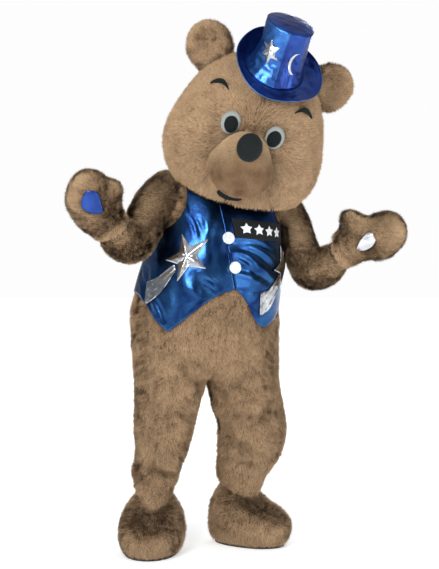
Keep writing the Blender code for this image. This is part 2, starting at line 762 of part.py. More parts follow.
def head_panel(name, start, end, coat, columns):
    """A head panel between two angles round the head, from the crown's middle to the neck opening."""
    outer, inner = [], []
    rows = 12
    margin = math.degrees(SEAM_GAP / 0.26)
    for i in range(rows + 1):
        outer_row, inner_row = [], []
        for j in range(columns + 1):
            around = math.radians(start + margin + (end - start - 2 * margin) * j / columns)
            polar = math.radians(2) + (neck_polar(around) - math.radians(2)) * i / rows
            way = sphere_way(polar, around)
            normal = HEAD_TURN @ head_normal(way)
            point = head_point(way)
            seam = min(j, columns - j)
            dimple = 0.003 if seam == 0 else 0.0
            outer_row.append(point - normal * dimple)
            inner_row.append(point - normal * HEAD_WALL)
        outer.append(outer_row)
        inner.append(inner_row)
    return solid_from_grids(name, outer, inner, False, coat)


def cutter_from_ways(name, point_of, rows=26, columns=42):
    """A closed round form used only to trim what sits on it."""
    shape = bmesh.new()
    grid = []
    for i in range(1, rows):
        grid.append([
            shape.verts.new(point_of(sphere_way(math.pi * i / rows, 2 * math.pi * j / columns)))
            for j in range(columns)
        ])
    top = shape.verts.new(point_of(Vector((0, 0, 1))))
    bottom = shape.verts.new(point_of(Vector((0, 0, -1))))
    for j in range(columns):
        k = (j + 1) % columns
        shape.faces.new((top, grid[0][j], grid[0][k]))
        shape.faces.new((bottom, grid[-1][k], grid[-1][j]))
        for i in range(rows - 2):
            shape.faces.new((grid[i][j], grid[i + 1][j], grid[i + 1][k], grid[i][k]))
    bmesh.ops.recalc_face_normals(shape, faces=shape.faces)
    mesh = bpy.data.meshes.new(name)
    shape.to_mesh(mesh)
    shape.free()
    made = bpy.data.objects.new(name, mesh)
    made.hide_render = True
    made.display_type = "WIRE"
    return made


def trim(piece, *cutters):
    for cutter in cutters:
        cut = piece.modifiers.new("seat", "BOOLEAN")
        cut.operation = "DIFFERENCE"
        cut.solver = "EXACT"
        cut.object = cutter
    return piece


def muzzle_point(way, out=0.0):
    return head_place(MUZZLE_CENTRE + way * (lobe_radius(way, MUZZLE_LOBES) + out))


def muzzle_way(polar, around):
    """A direction from the muzzle's middle: polar from its front, around from its top."""
    ring = math.sin(polar)
    return Vector((math.sin(around) * ring, -math.cos(polar), math.cos(around) * ring))


def muzzle_rim(around, gap):
    """How far round the muzzle reaches before it meets the head."""
    low, high = math.radians(40), math.radians(150)
    for _ in range(40):
        middle = (low + high) / 2
        away = HEAD_TURN.transposed() @ (muzzle_point(muzzle_way(middle, around), 0.0) - HEAD_CENTRE)
        if away.length > lobe_radius(away.normalized(), HEAD_LOBES) + gap:
            low = middle
        else:
            high = middle
    return low


MUZZLE_COLUMNS, MUZZLE_ROWS = 16, 8


def muzzle_grid(out=0.0):
    grid = []
    for i in range(MUZZLE_ROWS + 1):
        ring = []
        for j in range(MUZZLE_COLUMNS):
            around = 2 * math.pi * j / MUZZLE_COLUMNS
            way = muzzle_way(muzzle_rim(around, 0.0005) * i / MUZZLE_ROWS, around)
            ring.append(muzzle_point(way, out))
        grid.append(ring)
    return grid


def muzzle_cutter(name, out):
    """The muzzle's own faces moved out and closed behind, to trim what sits on it."""
    shape = bmesh.new()
    grid = muzzle_grid(out)
    front = shape.verts.new(grid[0][0])
    back = shape.verts.new(head_place(MUZZLE_CENTRE + Vector((0, 0.06, 0))))
    rings = [[shape.verts.new(point) for point in ring] for ring in grid[1:]]
    for j in range(MUZZLE_COLUMNS):
        k = (j + 1) % MUZZLE_COLUMNS
        shape.faces.new((front, rings[0][j], rings[0][k]))
        shape.faces.new((back, rings[-1][k], rings[-1][j]))
        for low, high in zip(rings, rings[1:]):
            shape.faces.new((low[j], high[j], high[k], low[k]))
    bmesh.ops.recalc_face_normals(shape, faces=shape.faces)
    mesh = bpy.data.meshes.new(name)
    shape.to_mesh(mesh)
    shape.free()
    made = bpy.data.objects.new(name, mesh)
    made.hide_render = True
    made.display_type = "WIRE"
    return made


def muzzle(name, coat):
    outer = muzzle_grid()
    middle = head_place(MUZZLE_CENTRE)
    inner = [[point - (point - middle).normalized() * MUZZLE_WALL for point in ring] for ring in outer]
    for j in range(MUZZLE_COLUMNS):
        away = HEAD_TURN.transposed() @ (inner[-1][j] - HEAD_CENTRE)
        least = lobe_radius(away.normalized(), HEAD_LOBES) + 0.0012
        if away.length < least:
            inner[-1][j] = HEAD_CENTRE + HEAD_TURN @ (away.normalized() * least)
    return solid_from_grids(name, outer, inner, True, coat, pole_first=True)


def ball(name, centre, half, turn, coat, segments=18, rings=9):
    """An egg-shaped solid, placed and turned."""
    bpy.ops.mesh.primitive_uv_sphere_add(segments=segments, ring_count=rings, radius=1)
    made = bpy.context.object
    for home in list(made.users_collection):
        home.objects.unlink(made)
    made.name = made.data.name = name
    made.data.transform(Matrix.Diagonal((*half, 1)))
    made.data.transform(turn.to_4x4())
    made.location = centre
    made.data.shade_smooth()
    made.data.materials.append(coat)
    return made


def facing(normal, up=None):
    """A turn whose -Y looks along the normal and whose Z keeps to the head's up."""
    up = up or (HEAD_TURN @ UP)
    back = -normal.normalized()
    right = up.cross(normal).normalized() * -1
    right = back.cross(up).normalized()
    top = right.cross(back).normalized()
    return Matrix((right, back, top)).transposed()


def ear(name, side, front, coat):
    """Half of a cupped round ear, front or back, wall open towards the other half."""
    centre = head_place((side * 0.226, 0.030, 0.236))
    outward = HEAD_TURN @ Vector((side * 0.60, 0, 0.80)).normalized()
    normal = HEAD_TURN @ Vector((side * 0.30, -1, 0.10)).normalized()
    outward = (outward - normal * outward.dot(normal)).normalized()
    across = outward.cross(normal).normalized()
    half_width, half_height, bulge, dent = 0.088, 0.094, 0.044, 0.030
    sign = 1 if front else -1
    flat = normal * (sign * SEAM_GAP / 2)

    def place(share, turn, shrink):
        wide, tall = half_width - shrink, half_height - shrink
        thick = (bulge - shrink * 0.9) * math.sqrt(max(1 - share**4, 0))
        hollow = dent * math.exp(-((share / 0.52) ** 2)) * (1 - share**4) if front else 0.0
        depth = thick - hollow
        edge = across * (wide * share * math.cos(turn)) + outward * (tall * share * math.sin(turn))
        return centre + edge + normal * (sign * depth) + flat

    outer, inner = [], []
    for share in (0.0, 0.3, 0.6, 0.84, 0.96, 1.0):
        turns = [2 * math.pi * j / 16 for j in range(16)]
        outer.append([place(share, turn, 0.0) for turn in turns])
        inner.append([place(share, turn, EAR_WALL) for turn in turns])
    return solid_from_grids(name, outer, inner, True, coat, pole_first=True)


def mitt(name, centre, lobes, cuff_way, coat):
    """A mitt closed at the finger end and open at the cuff, its pole turned away from the cuff."""
    pole = -cuff_way
    side_axis = pole.cross(UP).normalized()
    other_axis = pole.cross(side_axis)

    def point(polar, around, out=0.0):
        ring = math.sin(polar)
        way = pole * math.cos(polar) + side_axis * (ring * math.cos(around)) + other_axis * (ring * math.sin(around))
        return centre + way * (lobe_radius(way, lobes) + out)

    rows, columns = 9, 16
    last = math.radians(148)
    outer, inner = [], []
    for i in range(rows + 1):
        polar = last * i / rows
        outer.append([point(polar, 2 * math.pi * j / columns) for j in range(columns)])
        inner.append([point(polar, 2 * math.pi * j / columns, -MITT_WALL) for j in range(columns)])
    for grid in (outer, inner):
        for j in range(columns):
            away = grid[-1][j] - centre
            reach = away.dot(cuff_way)
            grid[-1][j] = grid[-1][j] + cuff_way * (MITT_CUFF_REACH - reach)
    return solid_from_grids(name, outer, inner, True, coat, pole_first=True)


def boot_point(place, turn_degrees, turn, z, inset=0.0, rise=True):
    toe, heel, half_width = row_at(BOOT, z)
    ahead, across = math.cos(turn), math.sin(turn)
    yaw = math.radians(turn_degrees)
    front = Vector((math.sin(yaw), -math.cos(yaw), 0))
    right = Vector((math.cos(yaw), math.sin(yaw), 0))
    groove = 0.0
    for middle in (-0.34, 0.34):
        groove += TOE_GROOVE * bump((turn - middle) / 0.22) * bump((z - 0.055) / 0.075)
    reach = (toe if ahead > 0 else heel) - inset
    lift = 0.0
    if rise:
        lift = max(0.0, (z - 0.06) / 0.116) * BOOT_RISE * (0.02 - 0.16 * ahead)
    point = front * ((reach - (groove if ahead > 0 else 0)) * math.copysign(abs(ahead) ** 0.9, ahead))
    point += right * ((half_width - inset) * math.copysign(abs(across) ** 0.9, across))
    return place + point + UP * (z + lift)


def boot(name, place, yaw, coat):
    columns = 20
    levels = [0.0083, 0.026, 0.060, 0.095, 0.125, 0.150, 0.172, 0.188, 0.205, 0.225]
    turns = [2 * math.pi * j / columns - math.pi for j in range(columns)]
    outer, inner = [], []
    for z in levels:
        outer.append([boot_point(place, yaw, turn, z) for turn in turns])
        inner.append([boot_point(place, yaw, turn, z, BOOT_WALL) for turn in turns])
    return solid_from_grids(name, outer, inner, True, coat)


def sole(name, place, yaw, coat):
    shape = bmesh.new()
    turns = [2 * math.pi * j / 20 - math.pi for j in range(20)]
    loops = []
    for z in (0.0, SOLE_THICKNESS):
        ring = [boot_point(place, yaw, turn, BOOT[0][0], 0.004, False) for turn in turns]
        loops.append([shape.verts.new((point.x, point.y, z)) for point in ring])
    shape.faces.new(loops[0][::-1])
    shape.faces.new(loops[1])
    for j in range(20):
        k = (j + 1) % 20
        shape.faces.new((loops[0][j], loops[0][k], loops[1][k], loops[1][j]))
    bmesh.ops.recalc_face_normals(shape, faces=shape.faces)
    return finish_mesh(name, shape, coat)


def hat_axes(normal):
    right = Vector((1, 0, 0))
    right = (right - normal * right.dot(normal)).normalized()
    return right, normal.cross(right)


def hat_ring(share, radius, out=0.0):
    """A ring of the crown, from its base (share 0) to its top (share 1)."""
    centre = HAT_BASE.lerp(HAT_TOP, share)
    normal = HAT_BASE_NORMAL.lerp(HAT_TOP_NORMAL, share).normalized()
    right, back = hat_axes(normal)
    ring = []
    for j in range(HAT_SEGMENTS):
        turn = 2 * math.pi * j / HAT_SEGMENTS
        reach = radius * (1 + 0.018 * math.sin(3 * turn + 4 * share)) + out
        ring.append(centre + right * (reach * math.cos(turn)) + back * (reach * math.sin(turn)))
    return ring


def crown_radius(share):
    return HAT_BASE_RADIUS + (HAT_TOP_RADIUS - HAT_BASE_RADIUS) * share - 0.012 * math.sin(math.pi * share)


def clear_of_head(point, gap):
    away = HEAD_TURN.transposed() @ (point - HEAD_CENTRE)
    way = away.normalized()
    least = lobe_radius(way, HEAD_LOBES) + gap
    return point if away.length > least else HEAD_CENTRE + HEAD_TURN @ (way * least)


def brim_point(turn, share, up):
    """A place of the brim, share 0 at the crown and 1 at the edge, its left and back curled up."""
    right, back = hat_axes(HAT_BASE_NORMAL)
    radius = BRIM_INSIDE + (BRIM_RADIUS - BRIM_INSIDE) * share
    curl = BRIM_LIFT * share**1.6 * (0.5 + 0.5 * math.cos(turn - math.radians(128))) ** 1.5
    wave = 0.006 * share * math.sin(4 * turn)
    reach = radius - 0.35 * curl
    point = HAT_BASE + right * (reach * math.cos(turn)) + back * (reach * math.sin(turn))
    return clear_of_head(point + HAT_BASE_NORMAL * (curl + wave), 0.001) + HAT_BASE_NORMAL * up


def hat_turns():
    return [2 * math.pi * j / HAT_SEGMENTS for j in range(HAT_SEGMENTS)]


def hat_brim(name, coat):
    shares = (0.0, 0.12, 0.45, 0.75, 1.0)
    lower = [[brim_point(turn, share, 0.0) for turn in hat_turns()] for share in shares]
    upper = [[brim_point(turn, share, 0.003) for turn in hat_turns()] for share in shares]
    return solid_from_grids(name, upper, lower, True, coat)


def crown_foot(turn, radius):
    """A place on the brim's upper face where the crown stands."""
    first, second = brim_point(turn, 0.0, 0.0044), brim_point(turn, 0.12, 0.0044)
    step = (BRIM_RADIUS - BRIM_INSIDE) * 0.12
    return first.lerp(second, (radius - BRIM_INSIDE) / step)


def hat_crown(name, coat):
    shares = (0.22, 0.45, 0.72, 1.0)
    turns = hat_turns()
    wall = 0.003
    outer = [[crown_foot(turn, HAT_BASE_RADIUS) for turn in turns]]
    inner = [[crown_foot(turn, HAT_BASE_RADIUS - wall) for turn in turns]]
    for share in shares:
        outer.append([clear_of_head(point, 0.010) for point in hat_ring(share, crown_radius(share))])
        inner.append([clear_of_head(point, 0.0065) for point in hat_ring(share, crown_radius(share), -wall)])
    return solid_from_grids(name, outer, inner, True, coat)


def hat_top(name, coat):
    outer, inner = [], []
    for share, dome in ((0.0, 0.010), (0.5, 0.008), (1.0, 0.0)):
        ring = hat_ring(1.0, HAT_TOP_RADIUS * max(share, 0.001))
        lift = HAT_TOP_NORMAL * (dome + 0.0006)
        outer.append([point + lift + HAT_TOP_NORMAL * 0.003 for point in ring])
        inner.append([point + lift for point in ring])
    return solid_from_grids(name, outer, inner, True, coat, pole_first=True)


def tree_of(piece):
    mesh = piece.data
    places = [piece.matrix_world @ corner.co for corner in mesh.vertices]
    return BVHTree.FromPolygons(places, [tuple(face.vertices) for face in mesh.polygons])


def lay(name, rings, thickness, surface_of, base, others, coat, lift, pole=True):
    """A cut piece laid on the base piece's own faces, raised by small steps until it is clear of them.

    The rings run from the middle outwards, or from one long edge to the other where there is no pole, with
    a thickness for each ring.
    """
    trees = [tree_of(base), *[tree_of(other) for other in others]]
    while True:
        outer, inner = [], []
        for ring, thick in zip(rings, thickness):
            places = []
            for x, y in ring:
                point, normal = surface_of(x, y)
                hit = trees[0].ray_cast(point + normal * 0.03, -normal, 0.06)[0]
                places.append((hit or point, normal))
            inner.append([point + normal * lift for point, normal in places])
            outer.append([point + normal * (lift + thick) for point, normal in places])
        piece = solid_from_grids(name, outer, inner, pole, coat, pole_first=pole)
        own = tree_of(piece)
        if lift > 0.008 or not any(tree.overlap(own) for tree in trees):
            return piece
        bpy.data.objects.remove(piece)
        lift += 0.0003


def dome(half, height, columns=16):
    """An oval's rings and the thickness of each, for a plano-convex piece."""
    steps = (0.0, 0.5, 0.82, 1.0)
    turns = [2 * math.pi * j / columns for j in range(columns)]
    rings = [[(half[0] * s * math.cos(turn), half[1] * s * math.sin(turn)) for turn in turns] for s in steps]
    return rings, [0.0015 + height * math.sqrt(1 - s * s) for s in steps]


def rings_of(outline, steps=(0.0, 0.5, 1.0)):
    """Shrunken copies of an outline round its middle, from a point to the whole."""
    middle_x = sum(x for x, _ in outline) / len(outline)
    middle_y = sum(y for _, y in outline) / len(outline)
    return [
        [(middle_x + (x - middle_x) * step, middle_y + (y - middle_y) * step) for x, y in outline]
        for step in steps
    ]


def strip_rings(upper, lower):
    """Three lines from one edge of a strip to the other."""
    return [
        [(ax + (bx - ax) * share, ay + (by - ay) * share) for (ax, ay), (bx, by) in zip(upper, lower)]
        for share in (0.0, 0.5, 1.0)
    ]


def subdivided(outline, times=2):
    points = []
    for (x, y), (next_x, next_y) in zip(outline, outline[1:] + outline[:1]):
        for step in range(times):
            share = step / times
            points.append((x + (next_x - x) * share, y + (next_y - y) * share))
    return points


def star_outline(radius, inner, tilt_degrees, points=5):
    outline = []
    for k in range(2 * points):
        turn = math.radians(90 + tilt_degrees) + math.pi * k / points
        reach = radius if k % 2 == 0 else inner
        outline.append((reach * math.cos(turn), reach * math.sin(turn)))
    return outline


# A shooting star's tail in flat metres from the middle of its star: its two long edges.
COMET_COLUMNS = ("upper_x", "upper_y", "lower_x", "lower_y")
COMET = (
    (-0.042, -0.027, -0.030, -0.044),
    (-0.062, -0.043, -0.043, -0.079),
    (-0.091, -0.069, -0.064, -0.113),
    (-0.116, -0.083, -0.088, -0.142),
    (-0.146, -0.089, -0.121, -0.163),
    (-0.153, -0.090, -0.149, -0.170),
)


def comet_edges():
    return [row[:2] for row in COMET], [row[2:] for row in COMET]


def on_waistcoat(centre_degrees, centre_z):
    """Maps flat metres round a place of the waistcoat to its surface."""
    def place(x, y):
        z = centre_z + y
        half_width, front, _, _ = row_at(TORSO, z)
        degrees = centre_degrees + math.degrees(x / ((half_width + front) / 2))
        return waistcoat_surface(math.radians(degrees), z)
    return place


def on_mitt(centre, lobes, look, up):
    """Maps flat metres to a mitt's surface, seen along a direction from its middle."""
    right = look.cross(up).normalized() * -1
    top = right.cross(look).normalized()
    top = top if top.dot(up) > 0 else -top

    def place(x, y):
        way = (look * 0.085 + right * x + top * y).normalized()
        return centre + way * lobe_radius(way, lobes), way
    return place


def on_crown(turn_degrees, centre_share, height):
    def place(x, y):
        share = centre_share + y / height
        radius = crown_radius(share)
        turn = math.radians(turn_degrees) + x / radius
        normal = HAT_BASE_NORMAL.lerp(HAT_TOP_NORMAL, share).normalized()
        right, back = hat_axes(normal)
        out = right * math.cos(turn) + back * math.sin(turn)
        wave = 1 + 0.018 * math.sin(3 * turn + 4 * share)
        return HAT_BASE.lerp(HAT_TOP, share) + out * (radius * wave), out
    return place


def on_face(x0, z0):
    def place(x, y):
        point, normal = on_head(x0 + x, z0 + y)
        return head_place(point), HEAD_TURN @ normal
    return place


def heart_pad_outline():
    return [(-0.034, 0.020), (-0.020, 0.038), (0.002, 0.040), (0.022, 0.030), (0.030, 0.004),
            (0.040, -0.036), (0.018, -0.040), (-0.012, -0.034), (-0.036, -0.024), (-0.042, -0.002)]


def oval_pad_outline():
    return [(-0.046, -0.036), (-0.026, -0.002), (0.000, 0.034), (0.016, 0.042), (0.034, 0.030),
            (0.042, 0.008), (0.030, -0.018), (0.004, -0.036), (-0.022, -0.044)]


def crescent_outline(size):
    outer, hollow = [], []
    for step in range(9):
        turn = math.radians(62 + 236 * step / 8)
        outer.append((size * math.cos(turn), size * 1.25 * math.sin(turn)))
    for step in range(1, 8):
        turn = math.radians(298 - 236 * step / 8)
        hollow.append((size * (0.18 + 0.80 * math.cos(turn)), size * 1.18 * math.sin(turn)))
    return outer + hollow


def button(name, spot, base, others, coat):
    """A flat round button laid on the cloth with its edge rounded."""
    point, normal = spot
    trees = [tree_of(base), *[tree_of(other) for other in others]]
    hit = trees[0].ray_cast(point + normal * 0.03, -normal, 0.06)[0] or point
    turn = normal.to_track_quat("Z", "Y").to_matrix()
    lift = 0.0036
    while True:
        shape = bmesh.new()
        bmesh.ops.create_cone(
            shape, cap_ends=True, segments=18, radius1=0.0215, radius2=0.0215, depth=0.005,
            matrix=Matrix.Translation(hit + normal * lift) @ turn.to_4x4(),
        )
        made = finish_mesh(name, shape, coat)
        own = tree_of(made)
        if lift > 0.02 or not any(tree.overlap(own) for tree in trees):
            return made
        bpy.data.objects.remove(made)
        lift += 0.0003


def build():
    clear_scene()
    coats = {
        "fur": material("fur", FUR, 0.9),
        "light_fur": material("light_fur", LIGHT_FUR, 0.9),
        "blue_lame": material("blue_lame", BLUE, 0.3, 0.8),
        "silver_lame": material("silver_lame", SILVER, 0.25, 0.9),
        "black_felt": material("black_felt", BLACK, 0.8),
        "white_vinyl": material("white_vinyl", WHITE, 0.4),
        "black_gloss": material("black_gloss", BLACK, 0.25),
        "sole_rubber": material("sole_rubber", (0.05, 0.04, 0.035), 0.8),
    }
    fur, light = coats["fur"], coats["light_fur"]
    blue, silver = coats["blue_lame"], coats["silver_lame"]
    felt, gloss, white = coats["black_felt"], coats["black_gloss"], coats["white_vinyl"]
    pieces, cutters = [], []

    for side, word in ((-1, "right"), (1, "left")):
        pieces.append(suit_panel(f"suit_front_{word}", side, True, fur, 7))
        pieces.append(suit_panel(f"suit_back_{word}", side, False, fur, 7))
        pieces.append(sleeve(f"sleeve_{word}", side, SLEEVES[word], fur))
    cuff_right = (Vector(SLEEVES["right"][2]) - RIGHT_MITT_CENTRE).normalized()
    cuff_left = (Vector(SLEEVES["left"][2]) - LEFT_MITT_CENTRE).normalized()
    mitt_right = mitt("mitt_right", RIGHT_MITT_CENTRE, RIGHT_MITT_LOBES, cuff_right, fur)
    mitt_left = mitt("mitt_left", LEFT_MITT_CENTRE, LEFT_MITT_LOBES, cuff_left, fur)
    pieces += [mitt_right, mitt_left]
    for word, (place, yaw) in (("right", RIGHT_BOOT), ("left", LEFT_BOOT)):
        pieces.append(boot(f"boot_{word}", place, yaw, fur))
        pieces.append(sole(f"sole_{word}", place, yaw, coats["sole_rubber"]))

    vest_right = waistcoat_panel("waistcoat_front_right", -90, FRONT_OPENING, blue, 10)
    vest_left = waistcoat_panel("waistcoat_front_left", FRONT_OPENING, 90, blue, 9)
    vest_back = waistcoat_panel("waistcoat_back", 90, 270, blue, 13)
    pieces += [vest_right, vest_left, vest_back]

    head_cutter = cutter_from_ways("head_cutter", lambda way: head_point(way, 0.0012))
    snout_cutter = muzzle_cutter("muzzle_cutter", 0.0008)
    cutters += [head_cutter, snout_cutter]
    face_left = head_panel("face_left", 0, 88, fur, 7)
    face_right = head_panel("face_right", 272, 360, fur, 7)
    pieces += [face_left, face_right]
    pieces.append(head_panel("head_back_left", 88, 180, fur, 7))
    pieces.append(head_panel("head_back_right", 180, 272, fur, 7))
    snout = muzzle("muzzle", light)
    pieces.append(snout)
    for side, word in ((-1, "right"), (1, "left")):
        pieces.append(trim(ear(f"ear_front_{word}", side, True, fur), head_cutter))
        pieces.append(trim(ear(f"ear_back_{word}", side, False, fur), head_cutter))

    for side, word in ((-1, "right"), (1, "left")):
        base = face_right if side < 0 else face_left
        look = on_face(side * EYE_PLACE[0], EYE_PLACE[1])
        eye = lay(f"eye_white_{word}", *dome(EYE_HALF, 0.016), look, base, [], white, 0.0006)
        look = on_face(side * (EYE_PLACE[0] - 0.006), EYE_PLACE[1] - 0.005)
        pupil = lay(f"eye_pupil_{word}", *dome(PUPIL_HALF, 0.005), look, eye, [], gloss, 0.0004)
        pieces += [eye, pupil]

        start = on_face(side * 0.152, 0.118)
        upper, lower = [], []
        for step in range(7):
            share = step / 6 - 0.5
            round_share = 1 - (2 * share) ** 2
            upper.append((share * 0.066, 0.0265 * round_share + 0.002))
            lower.append((share * 0.066, 0.0135 * round_share - 0.002))
        brow = strip_rings(upper, lower)
        pieces.append(lay(f"eyebrow_{word}", brow, [0.004] * 3, start, base, [], felt, 0.0008, False))

    nose_way = Vector((0.0, -0.92, 0.39)).normalized()
    nose_centre = head_place(MUZZLE_CENTRE + nose_way * (lobe_radius(nose_way, MUZZLE_LOBES) - 0.004))
    nose_turn = facing(HEAD_TURN @ Vector((0, -1, 0.18)).normalized())
    pieces.append(trim(ball("nose", nose_centre, (0.045, 0.030, 0.050), nose_turn, gloss), snout_cutter))

    turns = [2 * math.pi * k / 16 for k in range(16)]
    lips = [(0.046 * math.cos(turn), 0.017 * math.sin(turn)) for turn in turns]
    mouth = lay("mouth", rings_of(lips), [0.003] * 3, on_face(0.0, -0.222), face_left, [face_right, snout], felt, 0.0006)
    pieces.append(mouth)

    crown = hat_crown("hat_crown", blue)
    pieces += [hat_brim("hat_brim", blue), crown, hat_top("hat_top", blue)]
    height = (HAT_TOP - HAT_BASE).length
    hat_star = star_outline(0.040, 0.019, 8, 6)
    place = on_crown(-128, 0.55, height)
    pieces.append(lay("hat_star", rings_of(hat_star), [0.0012] * 3, place, crown, [], silver, 0.0006))
    moon = crescent_outline(0.028)
    edges = strip_rings(moon[:9], [moon[0], *moon[9:][::-1], moon[8]])
    place = on_crown(-58, 0.45, height)
    pieces.append(lay("hat_moon", edges, [0.0012] * 3, place, crown, [], silver, 0.0006, False))

    plate = [(-0.108, 0.034), (0.104, 0.014), (0.100, -0.056), (-0.104, -0.036)]
    chest = on_waistcoat(26.0, 1.158)
    label = lay("chest_patch", rings_of(subdivided(plate, 5)), [0.0015] * 3, chest, vest_left, [], felt, 0.0006)
    pieces.append(label)
    tail = strip_rings(*comet_edges())
    outline = rings_of(subdivided(star_outline(0.088, 0.037, 26)))
    for word, base, degrees, z in (("front", vest_right, -36.0, 1.056), ("side", vest_left, 60.0, 1.016)):
        place = on_waistcoat(degrees, z)
        comet = lay(f"comet_{word}", tail, [0.0012] * 3, place, base, [], silver, 0.0006, False)
        star = lay(f"star_{word}", outline, [0.0012] * 3, place, base, [comet, label], silver, 0.0024)
        pieces += [comet, star]

    for index in range(4):
        x = -0.070 + 0.046 * index
        y = -0.004 - 0.0046 * index
        dot = [(x + px, y + py) for px, py in star_outline(0.021, 0.0105, 0)]
        dots = rings_of(dot, (0.0, 1.0))
        pieces.append(lay(f"chest_star_{index + 1}", dots, [0.002] * 2, chest, label, [], white, 0.0005))

    for index, z in enumerate((1.121, 1.018)):
        spot = on_waistcoat(opening_degrees(z) + 1.5, z)(0.0, 0.0)
        pieces.append(button(f"button_{index + 1}", spot, vest_left, [vest_right, label], white))

    look = Vector((0.04, -1.0, -0.02)).normalized()
    pad = on_mitt(RIGHT_MITT_CENTRE, RIGHT_MITT_LOBES, look, UP)
    pad_rings = rings_of(subdivided(heart_pad_outline()))
    pieces.append(lay("paw_pad_right", pad_rings, [0.003] * 3, pad, mitt_right, [], blue, 0.0006))
    look = Vector((-0.26, -0.95, -0.16)).normalized()
    pad = on_mitt(LEFT_MITT_CENTRE, LEFT_MITT_LOBES, look, UP)
    pad_rings = rings_of(subdivided(oval_pad_outline()))
    pieces.append(lay("paw_pad_left", pad_rings, [0.003] * 3, pad, mitt_left, [], silver, 0.0006))

    costume = bpy.data.collections.new("bear_costume")
    helpers = bpy.data.collections.new("cutters")
    bpy.context.scene.collection.children.link(costume)
    bpy.context.scene.collection.children.link(helpers)
    holder = bpy.data.objects.new("wearer_shoulders", None)
    holder.location = -SHOULDER_POINT
    costume.objects.link(holder)
    for item in pieces:
        costume.objects.link(item)
        item.parent = holder
    for item in cutters:
        helpers.objects.link(item)
        item.parent = holder


build()
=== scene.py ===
# A bear mascot costume, empty and in a worn pose: a plush fur suit with head, mitts and boots, a metallic
# blue waistcoat and a small brimmed hat. Lengths are in metres, +Z is up and the costume faces -Y.
import json
import math

import bmesh
import bpy
import numpy as np
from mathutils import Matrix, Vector, noise
from mathutils.bvhtree import BVHTree
from mathutils.kdtree import KDTree

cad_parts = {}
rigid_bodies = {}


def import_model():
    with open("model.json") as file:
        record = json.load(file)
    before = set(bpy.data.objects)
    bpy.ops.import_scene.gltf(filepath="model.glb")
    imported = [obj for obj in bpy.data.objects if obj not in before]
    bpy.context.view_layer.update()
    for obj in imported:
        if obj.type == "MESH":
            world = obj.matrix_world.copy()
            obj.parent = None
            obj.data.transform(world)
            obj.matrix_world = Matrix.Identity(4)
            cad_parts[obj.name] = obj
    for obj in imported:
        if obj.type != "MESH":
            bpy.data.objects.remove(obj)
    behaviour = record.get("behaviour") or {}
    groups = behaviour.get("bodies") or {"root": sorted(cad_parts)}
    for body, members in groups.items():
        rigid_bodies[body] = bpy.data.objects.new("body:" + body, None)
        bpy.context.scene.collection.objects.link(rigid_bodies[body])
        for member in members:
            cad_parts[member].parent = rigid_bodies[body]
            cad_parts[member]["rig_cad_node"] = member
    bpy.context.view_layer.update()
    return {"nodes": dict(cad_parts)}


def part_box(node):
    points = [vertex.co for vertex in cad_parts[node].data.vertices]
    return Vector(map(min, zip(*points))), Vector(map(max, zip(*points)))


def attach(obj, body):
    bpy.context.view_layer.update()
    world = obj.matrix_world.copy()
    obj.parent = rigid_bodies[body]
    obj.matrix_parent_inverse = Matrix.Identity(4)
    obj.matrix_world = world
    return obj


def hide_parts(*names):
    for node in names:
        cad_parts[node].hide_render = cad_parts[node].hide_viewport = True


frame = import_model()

cadNodes = frame["nodes"]
shouldersAboveFloor = Vector((0.035, 0.0, 1.36))  # where the frame's origin is, from a spot on the floor


def fromFloor(x, y, z):
    return Vector((x, y, z)) - shouldersAboveFloor


# Colours and nodes

def linear(hexColour):
    parts = [int(hexColour[i:i + 2], 16) / 255 for i in (1, 3, 5)]
    return [c / 12.92 if c <= 0.04045 else ((c + 0.055) / 1.055) ** 2.4 for c in parts] + [1.0]


def addNode(tree, kind, inputs=None, **settings):
    node = tree.nodes.new(kind)
    for name, value in settings.items():
        setattr(node, name, value)
    for name, value in (inputs or {}).items():
        socket = node.inputs[name]
        if isinstance(value, bpy.types.NodeSocket):
            tree.links.new(value, socket)
        else:
            socket.default_value = value
    return node


def combined(tree, operation, first, second):
    return addNode(tree, "ShaderNodeMath", {0: first, 1: second}, operation=operation).outputs[0]


def combinedVectors(tree, operation, first, second):
    return addNode(tree, "ShaderNodeVectorMath", {0: first, 1: second}, operation=operation).outputs[0]


def setRamp(ramp, stops):
    elements = ramp.color_ramp.elements
    while len(elements) < len(stops):
        elements.new(0.5)
    for element, (place, hexColour) in zip(elements, stops):
        element.position = place
        element.color = linear(hexColour)
    return ramp.outputs["Color"]


def newMaterial(name):
    material = bpy.data.materials.new(name)
    material.use_nodes = True
    material.node_tree.nodes.clear()
    return material, material.node_tree


def finishMaterial(tree, surface):
    addNode(tree, "ShaderNodeOutputMaterial", {"Surface": surface.outputs[0]})


